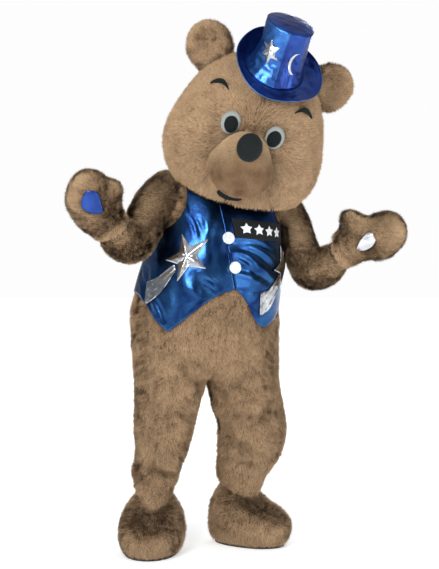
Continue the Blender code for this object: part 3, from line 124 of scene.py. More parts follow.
def furPile(name, root, middle, tip, shadeBelow=None):
    # Acrylic plush: matt fibres that catch a soft sheen, dark between the locks, a painted shade at their
    # roots, and pale at their tips, a painted light
    material, tree = newMaterial(name)
    along = addNode(tree, "ShaderNodeAttribute", attribute_name="along")
    shade = addNode(tree, "ShaderNodeAttribute", attribute_name="shade")
    lie = addNode(tree, "ShaderNodeAttribute", attribute_name="lie")
    # each fibre runs from a dark root, painted shade down in the pile, to a pale tip, painted light
    colour = setRamp(
        addNode(tree, "ShaderNodeValToRGB", {"Fac": along.outputs["Fac"]}),
        [(0.0, root), (0.42, middle), (0.95, tip)],
    )
    place = addNode(tree, "ShaderNodeTexCoord")
    patches = addNode(tree, "ShaderNodeTexNoise", {
        "Vector": place.outputs["Object"], "Scale": 1 / 0.060, "Detail": 3.0, "Roughness": 0.6,
    })
    spread = addNode(tree, "ShaderNodeMapRange", {
        "Value": patches.outputs["Fac"], "From Min": 0.3, "From Max": 0.7, "To Min": 0.84, "To Max": 1.12,
    })
    single = addNode(tree, "ShaderNodeMapRange", {
        "Value": shade.outputs["Fac"], "To Min": 0.80, "To Max": 1.20,
    })
    value = combined(tree, "MULTIPLY", spread.outputs[0], single.outputs[0])
    toned = addNode(tree, "ShaderNodeHueSaturation", {"Color": colour, "Value": value}).outputs[0]
    if shadeBelow:  # darker and browner towards the bottom of the muzzle, in blotches: painted shade under the muzzle
        height = addNode(tree, "ShaderNodeSeparateXYZ", {0: place.outputs["Object"]})
        lowShade = addNode(tree, "ShaderNodeMapRange", {
            "Value": height.outputs["Z"], "From Min": shadeBelow["high"], "From Max": shadeBelow["low"],
        })
        blotched = combined(tree, "MULTIPLY", lowShade.outputs[0], patches.outputs["Fac"])
        strength = combined(tree, "MULTIPLY", blotched, shadeBelow["strength"])
        toned = addNode(tree, "ShaderNodeMix", {0: strength, 6: toned, 7: linear(shadeBelow["tone"])},
                        data_type="RGBA").outputs[2]
    geometry = addNode(tree, "ShaderNodeNewGeometry")
    bend = addNode(tree, "ShaderNodeMix", {
        0: 0.35, 4: lie.outputs["Vector"], 5: geometry.outputs["Normal"],
    }, data_type="VECTOR")
    normal = addNode(tree, "ShaderNodeVectorMath", {0: bend.outputs[1]}, operation="NORMALIZE")
    surface = addNode(tree, "ShaderNodeBsdfPrincipled", {
        "Base Color": toned, "Roughness": 0.8, "Normal": normal.outputs[0],
        "Sheen Weight": 0.25, "Sheen Roughness": 0.5, "Sheen Tint": linear(tip),
        "Specular IOR Level": 0.2,
    })
    finishMaterial(tree, surface)
    return material


def furBacking(name, root, middle):
    # The knitted back of the plush, seen only in the partings: matt and dark, the dark a painted shade down
    # between the fibres, with a 2 mm stitch
    material, tree = newMaterial(name)
    place = addNode(tree, "ShaderNodeTexCoord")
    stitch = addNode(tree, "ShaderNodeTexVoronoi", {"Vector": place.outputs["Object"], "Scale": 1 / 0.002})
    patches = addNode(tree, "ShaderNodeTexNoise", {"Vector": place.outputs["Object"], "Scale": 1 / 0.03})
    colour = setRamp(
        addNode(tree, "ShaderNodeValToRGB", {"Fac": patches.outputs["Fac"]}), [(0.3, root), (0.75, middle)],
    )
    bump = addNode(tree, "ShaderNodeBump", {
        "Height": stitch.outputs["Distance"], "Strength": 0.4, "Distance": 0.001,
    })
    surface = addNode(tree, "ShaderNodeBsdfPrincipled", {
        "Base Color": colour, "Roughness": 0.9, "Normal": bump.outputs[0], "Specular IOR Level": 0.15,
    })
    finishMaterial(tree, surface)
    return material


def lameFoil(name, deep, bright, roughness, crinkle, metal=1.0, facets=0.0):
    # Foil-faced knit: a metallic film that mirrors softly, with fine crinkles across the larger folds
    material, tree = newMaterial(name)
    place = addNode(tree, "ShaderNodeTexCoord")
    broad = addNode(tree, "ShaderNodeTexNoise", {
        "Vector": place.outputs["Object"], "Scale": 1 / 0.07, "Detail": 2.0, "Distortion": 0.6,
    })
    colour = setRamp(
        addNode(tree, "ShaderNodeValToRGB", {"Fac": broad.outputs["Fac"]}), [(0.32, deep), (0.68, bright)],
    )
    fine = addNode(tree, "ShaderNodeTexNoise", {
        "Vector": place.outputs["Object"], "Scale": 1 / 0.016, "Detail": 4.0, "Roughness": 0.55,
        "Distortion": 0.8,
    })
    thread = addNode(tree, "ShaderNodeTexWave", {
        "Vector": place.outputs["Object"], "Scale": 1 / 0.006, "Distortion": 1.5, "Detail": 1.0,
    }, bands_direction="Z")
    folded = addNode(tree, "ShaderNodeBump", {
        "Height": fine.outputs["Fac"], "Strength": 0.5, "Distance": crinkle,
    })
    woven = addNode(tree, "ShaderNodeBump", {
        "Height": thread.outputs["Fac"], "Strength": 0.12, "Distance": 0.0002, "Normal": folded.outputs[0],
    })
    if facets:  # crushed foil: flats of about 4 cm that meet in creases
        crushed = addNode(tree, "ShaderNodeTexVoronoi", {
            "Vector": place.outputs["Object"], "Scale": 1 / 0.040,
        }, feature="DISTANCE_TO_EDGE")
        woven = addNode(tree, "ShaderNodeBump", {
            "Height": crushed.outputs["Distance"], "Strength": 1.0, "Distance": facets,
            "Normal": woven.outputs[0],
        })
    surface = addNode(tree, "ShaderNodeBsdfPrincipled", {
        "Base Color": colour, "Metallic": metal, "Roughness": roughness, "Normal": woven.outputs[0],
    })
    finishMaterial(tree, surface)
    return material


def feltCloth(name, dark, light, roughness=0.92):
    # Pressed wool felt: no gloss, a faint mottle and short stray fibres
    material, tree = newMaterial(name)
    place = addNode(tree, "ShaderNodeTexCoord")
    fibres = addNode(tree, "ShaderNodeTexNoise", {
        "Vector": place.outputs["Object"], "Scale": 1 / 0.0025, "Detail": 5.0,
    })
    colour = setRamp(
        addNode(tree, "ShaderNodeValToRGB", {"Fac": fibres.outputs["Fac"]}), [(0.35, dark), (0.7, light)],
    )
    bump = addNode(tree, "ShaderNodeBump", {
        "Height": fibres.outputs["Fac"], "Strength": 0.5, "Distance": 0.0006,
    })
    surface = addNode(tree, "ShaderNodeBsdfPrincipled", {
        "Base Color": colour, "Roughness": roughness, "Normal": bump.outputs[0],
        "Sheen Weight": 0.06, "Specular IOR Level": 0.2,
    })
    finishMaterial(tree, surface)
    return material


def mouldedPlastic(name, dark, light, roughness):
    # Injection-moulded plastic with a light satin skin and faint handling marks
    material, tree = newMaterial(name)
    place = addNode(tree, "ShaderNodeTexCoord")
    marks = addNode(tree, "ShaderNodeTexNoise", {
        "Vector": place.outputs["Object"], "Scale": 1 / 0.012, "Detail": 4.0,
    })
    colour = setRamp(
        addNode(tree, "ShaderNodeValToRGB", {"Fac": marks.outputs["Fac"]}), [(0.3, dark), (0.7, light)],
    )
    gloss = addNode(tree, "ShaderNodeMapRange", {
        "Value": marks.outputs["Fac"], "To Min": roughness - 0.06, "To Max": roughness + 0.08,
    })
    surface = addNode(tree, "ShaderNodeBsdfPrincipled", {
        "Base Color": colour, "Roughness": gloss.outputs[0], "IOR": 1.49,
    })
    finishMaterial(tree, surface)
    return material


materials = {
    "fur": furPile("brown_plush_pile", "#6E573F", "#94775A", "#C6A580"),
    "furBack": furBacking("brown_plush_backing", "#68523C", "#806750"),
    # a lighter copy of the brown pile and its backing, for the sleeves, mitts, boots and back of the head:
    # painted light
    "litLimbFur": furPile("brown_plush_pile_limbs", "#80674D", "#A08262", "#CCAB86"),
    "limbBack": furBacking("brown_plush_backing_limbs", "#6A543F", "#836A51"),
    # the muzzle's pile darkens and browns towards its bottom: painted shade under the muzzle
    "muzzleFur": furPile("light_plush_pile", "#7A6046", "#A98A68", "#CBAD89", shadeBelow={
        "low": fromFloor(0, 0, 1.345).z, "high": fromFloor(0, 0, 1.435).z, "strength": 1.5, "tone": "#6E523A",
    }),
    "muzzleBack": furBacking("light_plush_backing", "#7A6047", "#94785A"),
    "blueLame": lameFoil("blue_lame", "#162D5E", "#2E5A8E", 0.25, 0.0012),
    # two tones of one blue foil: on the crown the darker copy is painted shade on one half and the lighter
    # copy painted light on the other; the darker one also dresses the brim, the top and a paw pad
    "hatLame": lameFoil("blue_lame_hat", "#2A4E96", "#3F78BA", 0.30, 0.0018, metal=0.85),
    "navyLame": lameFoil("navy_lame_hat", "#1C2F6E", "#2C4A94", 0.32, 0.0014, metal=0.85),
    "silverLame": lameFoil("silver_lame", "#9EA1A5", "#CDCFD1", 0.22, 0.0009, facets=0.0016),
    "padLame": lameFoil("silver_lame_pad", "#B9BCC2", "#DEDFE1", 0.24, 0.0008, facets=0.0030),
    "blackFelt": feltCloth("black_felt", "#0B0F10", "#151B1C"),
    "noseVelvet": feltCloth("nose_flock", "#0A0F0F", "#131A1A", 0.8),
    # the white felt of the eyes is coloured grey: painted shade
    "eyeFelt": feltCloth("eye_white_felt", "#858B87", "#A4A9A5"),
    "patchCloth": feltCloth("black_patch_cloth", "#0B0F12", "#12171B", 0.6),
    "whiteVinyl": mouldedPlastic("white_vinyl", "#D9DCDD", "#F4F5F5", 0.45),
    "buttonWhite": mouldedPlastic("white_button_plastic", "#BFC4C7", "#DDE0E1", 0.30),
    "soleRubber": mouldedPlastic("sole_rubber", "#241D18", "#3A3029", 0.7),
}
print("materials made:", len(materials))


# Shapes taken from the solids

def camelName(nodeName):
    words = nodeName.split("_")
    return words[0] + "".join(word.capitalize() for word in words[1:])


def weldedCopy(nodeName):
    shape = bmesh.new()
    shape.from_mesh(cadNodes[nodeName].data)
    bmesh.ops.remove_doubles(shape, verts=shape.verts, dist=0.00005)
    return shape


def pairTriangles(shape, faceDegrees):
    # Joins triangles into quads where two of them lie nearly flat
    bmesh.ops.join_triangles(
        shape, faces=shape.faces, angle_face_threshold=math.radians(faceDegrees),
        angle_shape_threshold=math.radians(60),
    )


def skinOf(nodeName, sharpDegrees=52):
    # The outer skin of a node's wall: the largest run of faces that no sharp edge crosses
    shape = weldedCopy(nodeName)
    unseen = dict.fromkeys(shape.faces)  # in the mesh's order, so each run takes them alike
    regions = []
    while unseen:
        seed = next(iter(unseen))
        del unseen[seed]
        region, waiting = [seed], [seed]
        while waiting:
            for edge in waiting.pop().edges:
                if len(edge.link_faces) == 2 and edge.calc_face_angle(3) < math.radians(sharpDegrees):
                    for face in edge.link_faces:
                        if face in unseen:
                            del unseen[face]
                            region.append(face)
                            waiting.append(face)
        regions.append((sum(face.calc_area() for face in region), region))
    regions.sort(key=lambda entry: entry[0])
    keep = set(regions[-1][1])
    bmesh.ops.delete(shape, geom=[face for face in shape.faces if face not in keep], context="FACES")
    pairTriangles(shape, 40)
    return shape


def newPiece(name, shape, *coats):
    mesh = bpy.data.meshes.new(name)
    shape.to_mesh(mesh)
    shape.free()
    piece = bpy.data.objects.new(name, mesh)
    bpy.context.scene.collection.objects.link(piece)
    for coat in coats:
        mesh.materials.append(coat)
    for face in mesh.polygons:
        face.use_smooth = True
    return piece


def applied(piece):
    graph = bpy.context.evaluated_depsgraph_get()
    mesh = bpy.data.meshes.new_from_object(piece.evaluated_get(graph), depsgraph=graph)
    piece.modifiers.clear()
    piece.data = mesh
    mesh.name = piece.name
    return piece


def subdivided(piece, levels):
    smooth = piece.modifiers.new("smooth", "SUBSURF")
    smooth.levels = smooth.render_levels = levels
    smooth.boundary_smooth = "PRESERVE_CORNERS"
    return applied(piece)


def walled(piece, thickness):
    # Gives a skin its cloth's thickness, inward
    wall = piece.modifiers.new("wall", "SOLIDIFY")
    wall.thickness = thickness
    wall.offset = -1
    return applied(piece)


def meshArrays(piece):
    mesh = piece.data
    points = np.empty(len(mesh.vertices) * 3)
    mesh.vertices.foreach_get("co", points)
    normals = np.empty(len(mesh.vertices) * 3)
    mesh.vertex_normals.foreach_get("vector", normals)
    return points.reshape(-1, 3), normals.reshape(-1, 3)


def setPoints(piece, points):
    piece.data.vertices.foreach_set("co", np.ascontiguousarray(points, dtype=np.float32).ravel())
    piece.data.update()


def treeWithout(*skipped):
    # A ray tree of every solid but the named ones, with each triangle's node
    points, triangles, owners = [], [], []
    for nodeName, item in cadNodes.items():
        if nodeName in skipped:
            continue
        start = len(points)
        points += [vertex.co.copy() for vertex in item.data.vertices]
        for face in item.data.polygons:
            triangles.append([start + index for index in face.vertices])
            owners.append(nodeName)
    return BVHTree.FromPolygons(points, triangles), owners


def finishPiece(piece, slot, *nodes):
    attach(piece, "root")
    if nodes:
        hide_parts(*nodes)
    return piece


# Creases: soft troughs and ridges along bowed lines

creaseForm = {"turned": 2.0, "sides": 0.2, "endFade": 0.6, "rim": 0.35, "rimAt": 1.7, "rimWidth": 0.7}


def creaseTable(rows):
    names = ("fromX", "fromZ", "toX", "toZ", "bow", "halfWidth", "depth")
    return [dict(zip(names, row)) for row in rows]


def creased(piece, creases, side, times=1.0):
    # Moves the points that face one way along their normals: a positive depth is a trough
    points, normals = meshArrays(piece)
    faces = np.clip(-side * normals[:, 1] * creaseForm["turned"] + creaseForm["sides"], 0, 1)
    flat = points[:, [0, 2]]
    origin = [shouldersAboveFloor.x, shouldersAboveFloor.z]
    shift = np.zeros(len(points))
    for crease in creases:
        start = np.array([crease["fromX"], crease["fromZ"]]) - origin
        end = np.array([crease["toX"], crease["toZ"]]) - origin
        across = np.array([-(end - start)[1], (end - start)[0]])
        across /= np.linalg.norm(across)
        steps = np.linspace(0, 1, 33)
        bowed = across * (4 * steps * (1 - steps) * crease["bow"])[:, None]
        line = start + (end - start) * steps[:, None] + bowed
        away = np.linalg.norm(flat[:, None, :] - line[None, :, :], axis=2)
        nearest = away.argmin(axis=1)
        near = away[np.arange(len(flat)), nearest]
        fade = np.sin(np.pi * (0.06 + 0.88 * steps[nearest])) ** creaseForm["endFade"]
        shape = np.exp(-(near / crease["halfWidth"]) ** 2)
        fromRim = near - creaseForm["rimAt"] * crease["halfWidth"]
        rim = creaseForm["rim"] * np.exp(-(fromRim / (creaseForm["rimWidth"] * crease["halfWidth"])) ** 2)
        shift -= times * crease["depth"] * fade * (shape - rim)
    setPoints(piece, points + normals * (shift * faces)[:, None])
    return piece


# Plush: a thin backing on each solid's form, and the pile that stands on it as a piece of its own

rightHand = fromFloor(-0.394, -0.38, 1.244)
leftHand = fromFloor(0.582, -0.20, 1.128)
headCentre = fromFloor(0.129, -0.080, 1.504)
noseTip = fromFloor(0.131, -0.50, 1.432)

# length along a fibre, depth from the tips down to the backing, and what pile and backing are made of
pileKinds = {
    "body": {"length": 0.0185, "depth": 0.0100, "coats": ("fur", "furBack"), "slot": "fur"},
    "limb": {"length": 0.0170, "depth": 0.0095, "coats": ("litLimbFur", "limbBack"), "slot": "fur"},
    "head": {"length": 0.0215, "depth": 0.0120, "coats": ("fur", "furBack"), "slot": "fur"},
    "muzzle": {"length": 0.0085, "depth": 0.0050, "coats": ("muzzleFur", "muzzleBack"), "slot": "light_fur"},
    "ear": {"length": 0.0165, "depth": 0.0090, "coats": ("fur", "furBack"), "slot": "fur"},
}
# how far a fibre stands up, leans with the lie, bunches into locks, drifts in waves and strays by itself
pileHabit = {"lift": 0.80, "lean": 0.62, "locks": 1.35, "waves": 1.15, "stray": 0.26, "width": 0.0032}
calmPile = {"locks": 1.1, "waves": 0.9}
lockSize = 0.021
waveSize = 0.075
droop = {"toward": 0.35, "away": 0.25}  # how much of the lie is straight down
plush = {
    "wall": 0.0015,       # of the backing
    "lap": 0.0022,        # of one backing over its neighbour
    "seamLean": 1.4,      # of the pile across a seam
    "foldTimes": 1.6,     # the tables' depths, on the suit
    "earFoot": 0.012,     # from the head's solids
    "earRoot": 0.018,     # down through the head's pile
    "coverFrom": 0.002,   # under the tips
    "coverReach": 0.016,  # within which another cloth flattens the pile
}
pileShare = 1.12  # of the densities below

# node, kind of pile, which way it lies, fibres per square metre, cut width and length
plushPanels = [
    dict(node="suit_front_right", pile="body", lies="down", density=175000, cut=(0.52, 1.24)),
    dict(node="suit_back_right", pile="body", lies="down", density=115000, cut=(0.52, 1.24)),
    dict(node="suit_front_left", pile="body", lies="down", density=175000, cut=(0.52, 1.24)),
    dict(node="suit_back_left", pile="body", lies="down", density=115000, cut=(0.52, 1.24)),
    dict(node="sleeve_right", pile="limb", lies="toward", point=rightHand, density=165000,
         cut=(0.54, 0.52), **calmPile),
    dict(node="sleeve_left", pile="limb", lies="toward", point=leftHand, density=165000,
         cut=(0.54, 0.52), **calmPile),
    dict(node="mitt_right", pile="limb", lies="away", point=fromFloor(-0.35, -0.32, 1.17), density=190000,
         cut=(0.40, 0.26), **calmPile),
    dict(node="mitt_left", pile="limb", lies="away", point=fromFloor(0.47, -0.14, 1.08), density=190000,
         cut=(0.40, 0.26), **calmPile),
    dict(node="boot_right", pile="limb", lies="away", point=fromFloor(-0.21, -0.10, 0.34), density=175000,
         cut=(0.62, 0.34), **calmPile),
    dict(node="boot_left", pile="limb", lies="away", point=fromFloor(0.10, 0.02, 0.34), density=175000,
         cut=(0.62, 0.34), **calmPile),
    dict(node="face_left", pile="head", lies="away", point=noseTip, density=180000, cut=(0.46, 0.50)),
    dict(node="face_right", pile="head", lies="away", point=noseTip, density=180000, cut=(0.46, 0.50)),
    dict(node="head_back_left", pile="limb", lies="down", density=165000, cut=(0.46, 0.50)),
    dict(node="head_back_right", pile="limb", lies="down", density=165000, cut=(0.46, 0.50)),
    dict(node="muzzle", pile="muzzle", lies="away", point=noseTip, density=340000, cut=(0.40, 0.26),
         locks=0.5, waves=0.5, width=0.0022),
    dict(node="ear_front_right", pile="ear", lies="away", point=headCentre, density=190000, cut=(0.20, 0.16)),
    dict(node="ear_back_right", pile="ear", lies="away", point=headCentre, density=120000, cut=(0.20, 0.16)),
    dict(node="ear_front_left", pile="ear", lies="away", point=headCentre, density=190000, cut=(0.20, 0.16)),
    dict(node="ear_back_left", pile="ear", lies="away", point=headCentre, density=120000, cut=(0.20, 0.16)),
]
plushNodes = {panel["node"] for panel in plushPanels}


def fibre():
    # One tapered fibre of unit length, with its height stored along it
    shape = bmesh.new()
    left = shape.verts.new((-0.5, 0, 0))
    right = shape.verts.new((0.5, 0, 0))
    tip = shape.verts.new((0, 0, 1))
    shape.faces.new((left, right, tip))
    mesh = bpy.data.meshes.new("fibre")
    shape.to_mesh(mesh)
    shape.free()
    height = mesh.attributes.new("along", "FLOAT", "POINT")
    for vertex in mesh.vertices:
        height.data[vertex.index].value = vertex.co.z
    return bpy.data.objects.new("fibre", mesh)


def pileGrower(settings, seed, coat, oneFibre):
    # Geometry nodes that scatter fibres, lean them along the lie and break the lie up into locks
    habit = {**pileHabit, **settings}
    tree = bpy.data.node_groups.new("pile", "GeometryNodeTree")
    tree.interface.new_socket("Geometry", in_out="INPUT", socket_type="NodeSocketGeometry")
    tree.interface.new_socket("Geometry", in_out="OUTPUT", socket_type="NodeSocketGeometry")
    start = addNode(tree, "NodeGroupInput")
    share = addNode(tree, "GeometryNodeInputNamedAttribute", {"Name": "stand"}, data_type="FLOAT")
    lie = addNode(tree, "GeometryNodeInputNamedAttribute", {"Name": "comb"}, data_type="FLOAT_VECTOR")
    covered = combined(tree, "GREATER_THAN", share.outputs[0], 0.2)
    density = combined(tree, "MULTIPLY", covered, settings["density"] * pileShare)
    scatter = addNode(tree, "GeometryNodeDistributePointsOnFaces", {
        "Mesh": start.outputs[0], "Density": density, "Seed": seed,
    })
    where = addNode(tree, "GeometryNodeInputPosition")
    locks = addNode(tree, "ShaderNodeTexNoise", {
        "Vector": where.outputs[0], "Scale": 1 / lockSize, "Detail": 1.0,
    })
    waves = addNode(tree, "ShaderNodeTexNoise", {
        "Vector": where.outputs[0], "Scale": 1 / waveSize, "Detail": 1.0,
    })
    stray = addNode(tree, "FunctionNodeRandomValue", {0: (-1, -1, -1), 1: (1, 1, 1), "Seed": seed + 1},
                    data_type="FLOAT_VECTOR")

    def weighted(vector, amount, centre=None):  # times an amount, from its middle if one is given
        if centre:
            vector = combinedVectors(tree, "SUBTRACT", vector, centre)
        scaled = addNode(tree, "ShaderNodeVectorMath", {0: vector, "Scale": amount}, operation="SCALE")
        return scaled.outputs[0]

    total = weighted(scatter.outputs["Normal"], habit["lift"])
    for part in (
        weighted(lie.outputs[0], habit["lean"]),
        weighted(locks.outputs["Color"], habit["locks"], (0.5, 0.5, 0.5)),
        weighted(waves.outputs["Color"], habit["waves"], (0.5, 0.5, 0.5)),
        weighted(stray.outputs[0], habit["stray"]),
    ):
        total = combinedVectors(tree, "ADD", total, part)
    turn = addNode(tree, "FunctionNodeAxesToRotation", {0: total, 1: scatter.outputs["Normal"]},
                   primary_axis="Z", secondary_axis="Y")
    length = addNode(tree, "FunctionNodeRandomValue", {2: 0.72, 3: 1.12, "Seed": seed + 2}, data_type="FLOAT")
    tall = combined(tree, "MULTIPLY", length.outputs[1], pileKinds[settings["pile"]]["length"])
    standing = combined(tree, "MULTIPLY", tall, share.outputs[0])
    size = addNode(tree, "ShaderNodeCombineXYZ", {"X": habit["width"], "Y": 1.0, "Z": standing})
    shade = addNode(tree, "FunctionNodeRandomValue", {2: 0.0, 3: 1.0, "Seed": seed + 3}, data_type="FLOAT")
    shaded = addNode(tree, "GeometryNodeStoreNamedAttribute", {
        "Geometry": scatter.outputs["Points"], "Name": "shade", "Value": shade.outputs[1],
    }, data_type="FLOAT", domain="POINT")
    lies = addNode(tree, "GeometryNodeStoreNamedAttribute", {
        "Geometry": shaded.outputs[0], "Name": "lie", "Value": scatter.outputs["Normal"],
    }, data_type="FLOAT_VECTOR", domain="POINT")
    source = addNode(tree, "GeometryNodeObjectInfo", {"Object": oneFibre})
    planted = addNode(tree, "GeometryNodeInstanceOnPoints", {
        "Points": lies.outputs[0], "Instance": source.outputs["Geometry"], "Rotation": turn.outputs[0],
        "Scale": size.outputs[0],
    })
    real = addNode(tree, "GeometryNodeRealizeInstances", {"Geometry": planted.outputs[0]})
    painted = addNode(tree, "GeometryNodeSetMaterial", {"Geometry": real.outputs[0], "Material": coat})
    addNode(tree, "NodeGroupOutput", {"Geometry": painted.outputs[0]})
    return tree


def lieOfPile(panel, point, normal):
    if panel["lies"] == "down":
        way = Vector((0, 0, -1))
    elif panel["lies"] == "toward":
        way = (panel["point"] - point).normalized() + Vector((0, 0, -droop["toward"]))
    else:
        way = (point - panel["point"]).normalized() + Vector((0, 0, -droop["away"]))
    way -= normal * way.dot(normal)
    return way.normalized() if way.length > 0.05 else Vector((0, 0, -1))


def overSeams(mesh, lies):
    # Along a panel's edge the backing laps its neighbour, and the pile is brushed out across the seam
    shape = bmesh.new()
    shape.from_mesh(mesh)
    moves = {}
    for vertex in shape.verts:
        if vertex.is_boundary:
            outward = Vector()
            for face in vertex.link_faces:
                outward += vertex.co - face.calc_center_median()
            outward -= vertex.normal * outward.dot(vertex.normal)
            if outward.length > 0:
                moves[vertex.index] = outward.normalized()
    shape.free()
    for index, outward in moves.items():
        mesh.vertices[index].co += outward * plush["lap"]
        lies[index] = (lies[index] + outward * plush["seamLean"]).normalized()
    mesh.update()


# The folds that show in the fur, from the floor up: where each runs, its half width and its depth
legFolds = creaseTable([
    (-0.236, 0.660, -0.222, 0.300, 0.018, 0.016, 0.012),
    (-0.130, 0.640, -0.160, 0.420, -0.020, 0.022, 0.008),
    (-0.200, 0.330, -0.120, 0.300, -0.012, 0.018, 0.010),
    (-0.100, 0.720, -0.020, 0.600, -0.020, 0.020, 0.012),
    (0.000, 0.560, 0.240, 0.490, -0.030, 0.020, 0.012),
    (0.010, 0.470, 0.210, 0.330, -0.020, 0.018, 0.011),
    (0.060, 0.620, 0.220, 0.600, -0.015, 0.020, 0.007),
    (0.040, 0.330, 0.180, 0.300, 0.010, 0.014, 0.009),
    (0.110, 0.760, 0.140, 0.680, 0.012, 0.018, 0.008),
    (0.028, 0.930, -0.004, 0.640, 0.012, 0.008, 0.006),
])
backFolds = creaseTable([
    (-0.200, 0.640, -0.190, 0.320, -0.018, 0.018, 0.010),
    (-0.100, 0.600, -0.180, 0.480, 0.020, 0.020, 0.009),
    (0.050, 0.580, 0.220, 0.540, 0.020, 0.020, 0.011),
    (0.060, 0.440, 0.200, 0.380, 0.016, 0.018, 0.010),
    (-0.180, 0.680, -0.030, 0.640, -0.030, 0.018, 0.010),
    (0.020, 0.640, 0.200, 0.680, -0.030, 0.018, 0.010),
])

headTree = treeWithout(*(node for node in cadNodes if not node.startswith(("face", "head_back"))))[0]


def rootedInHead(shape):
    # Carries an ear's open foot down through the head's pile to its backing
    foot = [edge for edge in shape.edges if edge.is_boundary and all(
        headTree.find_nearest(vertex.co)[3] < plush["earFoot"] for vertex in edge.verts)]
    roots = {}
    for edge in foot:
        for vertex in edge.verts:
            if vertex not in roots:
                inward = (headCentre - vertex.co).normalized()
                roots[vertex] = shape.verts.new(vertex.co + inward * plush["earRoot"])
    for edge in foot:
        loop = edge.link_loops[0]
        first, second = loop.link_loop_next.vert, loop.vert
        shape.faces.new((first, second, roots[second], roots[first]))


def shareStanding(backing, nodeName):
    # How much of its length the pile stands at each point: none where the lame or a pad lies on it
    points, normals = meshArrays(backing)
    tree, owners = treeWithout(nodeName)
    stand = np.ones(len(points))
    for i, (point, normal) in enumerate(zip(points, normals)):
        ray = Vector(normal)
        under = Vector(point) - ray * plush["coverFrom"]
        spot, _, hit, _ = tree.ray_cast(under, ray, plush["coverReach"])
        if spot is not None and owners[hit] not in plushNodes and not nodeName.startswith("sleeve"):
            stand[i] = 0.0
    ends = np.empty(len(backing.data.edges) * 2, dtype=np.int64)
    backing.data.edges.foreach_get("vertices", ends)
    ends = ends.reshape(-1, 2)
    total = stand.copy()
    count = np.ones(len(stand))
    np.add.at(total, ends[:, 0], stand[ends[:, 1]])
    np.add.at(total, ends[:, 1], stand[ends[:, 0]])
    np.add.at(count, ends[:, 0], 1)
    np.add.at(count, ends[:, 1], 1)
    return total / count


oneFibre = fibre()
fibreCount = 0
for number, panel in enumerate(plushPanels):
    nodeName = panel["node"]
    kind = pileKinds[panel["pile"]]
    coatName, backName = kind["coats"]
    slotName = kind["slot"]
    name = camelName(nodeName)
    shape = skinOf(nodeName)
    if panel["pile"] == "ear":
        rootedInHead(shape)
    backing = newPiece(name, shape, materials[backName])
    subdivided(backing, 2)
    points, normals = meshArrays(backing)
    stand = shareStanding(backing, nodeName)
    setPoints(backing, points - normals * (stand * kind["depth"])[:, None])
    if nodeName.startswith("suit_front"):
        creased(backing, legFolds, 1, plush["foldTimes"])
    elif nodeName.startswith("suit_back"):
        creased(backing, backFolds, -1, plush["foldTimes"])
    mesh = backing.data
    standing = mesh.attributes.new("stand", "FLOAT", "POINT")
    standing.data.foreach_set("value", stand.astype(np.float32))
    comb = mesh.attributes.new("comb", "FLOAT_VECTOR", "POINT")
    lies = [lieOfPile(panel, Vector(point), Vector(normal)) for point, normal in zip(points, normals)]
    overSeams(mesh, lies)
    comb.data.foreach_set("vector", np.array(lies, dtype=np.float32).ravel())

    pile = bpy.data.objects.new(name + "Pile", mesh.copy())
    bpy.context.scene.collection.objects.link(pile)
    grower = pile.modifiers.new("grow", "NODES")
    grower.node_group = pileGrower(panel, 100 + 10 * number, materials[coatName], oneFibre)
    applied(pile)
    pile.data.materials.clear()
    pile.data.materials.append(materials[coatName])
    fibreCount += len(pile.data.polygons)

    walled(backing, plush["wall"])
    finishPiece(backing, slotName, nodeName)
    finishPiece(pile, slotName)
print("plush made, fibres:", fibreCount)


# Lame: the waistcoat and the hat, thin shells with their creases

frontCreases = creaseTable([
    (0.078, 1.107, 0.232, 1.052, 0.016, 0.010, 0.0050),
    (0.074, 1.093, 0.222, 1.000, 0.020, 0.013, 0.0065),
    (0.090, 1.062, 0.160, 0.985, 0.012, 0.009, 0.0035),
    (0.071, 1.016, 0.205, 0.962, 0.014, 0.012, 0.0055),
    (0.085, 0.939, 0.160, 0.934, -0.003, 0.006, 0.0030),
    (0.085, 0.918, 0.140, 0.916, 0.002, 0.005, 0.0026),
    (0.092, 0.893, 0.132, 0.896, 0.002, 0.005, 0.0022),
    (0.120, 0.860, 0.160, 0.830, 0.004, 0.008, 0.0025),
    (-0.258, 1.002, -0.236, 0.862, 0.008, 0.008, 0.0050),
    (-0.230, 1.011, -0.214, 0.850, -0.006, 0.010, 0.0055),
    (-0.199, 0.905, -0.168, 0.832, 0.004, 0.008, 0.0040),
    (-0.150, 1.330, -0.098, 1.225, -0.008, 0.009, 0.0035),
    (-0.125, 1.300, -0.085, 1.215, 0.004, 0.006, 0.0025),
    (-0.080, 1.200, -0.052, 1.122, 0.006, 0.008, 0.0016),
    (-0.045, 1.190, -0.024, 1.136, 0.004, 0.009, 0.0012),
    (0.022, 1.180, 0.034, 1.036, -0.010, 0.022, 0.0040),
    (-0.022, 0.982, 0.024, 0.944, 0.004, 0.005, 0.0028),
    (-0.026, 0.964, 0.016, 0.932, 0.003, 0.005, 0.0026),
    (-0.060, 0.985, -0.020, 0.915, 0.010, 0.020, 0.0060),
    (-0.200, 1.160, -0.120, 1.040, -0.020, 0.026, 0.0070),
    (-0.120, 0.930, -0.110, 0.840, 0.004, 0.018, 0.0035),
    (0.150, 1.160, 0.240, 1.130, 0.008, 0.008, 0.0030),
])
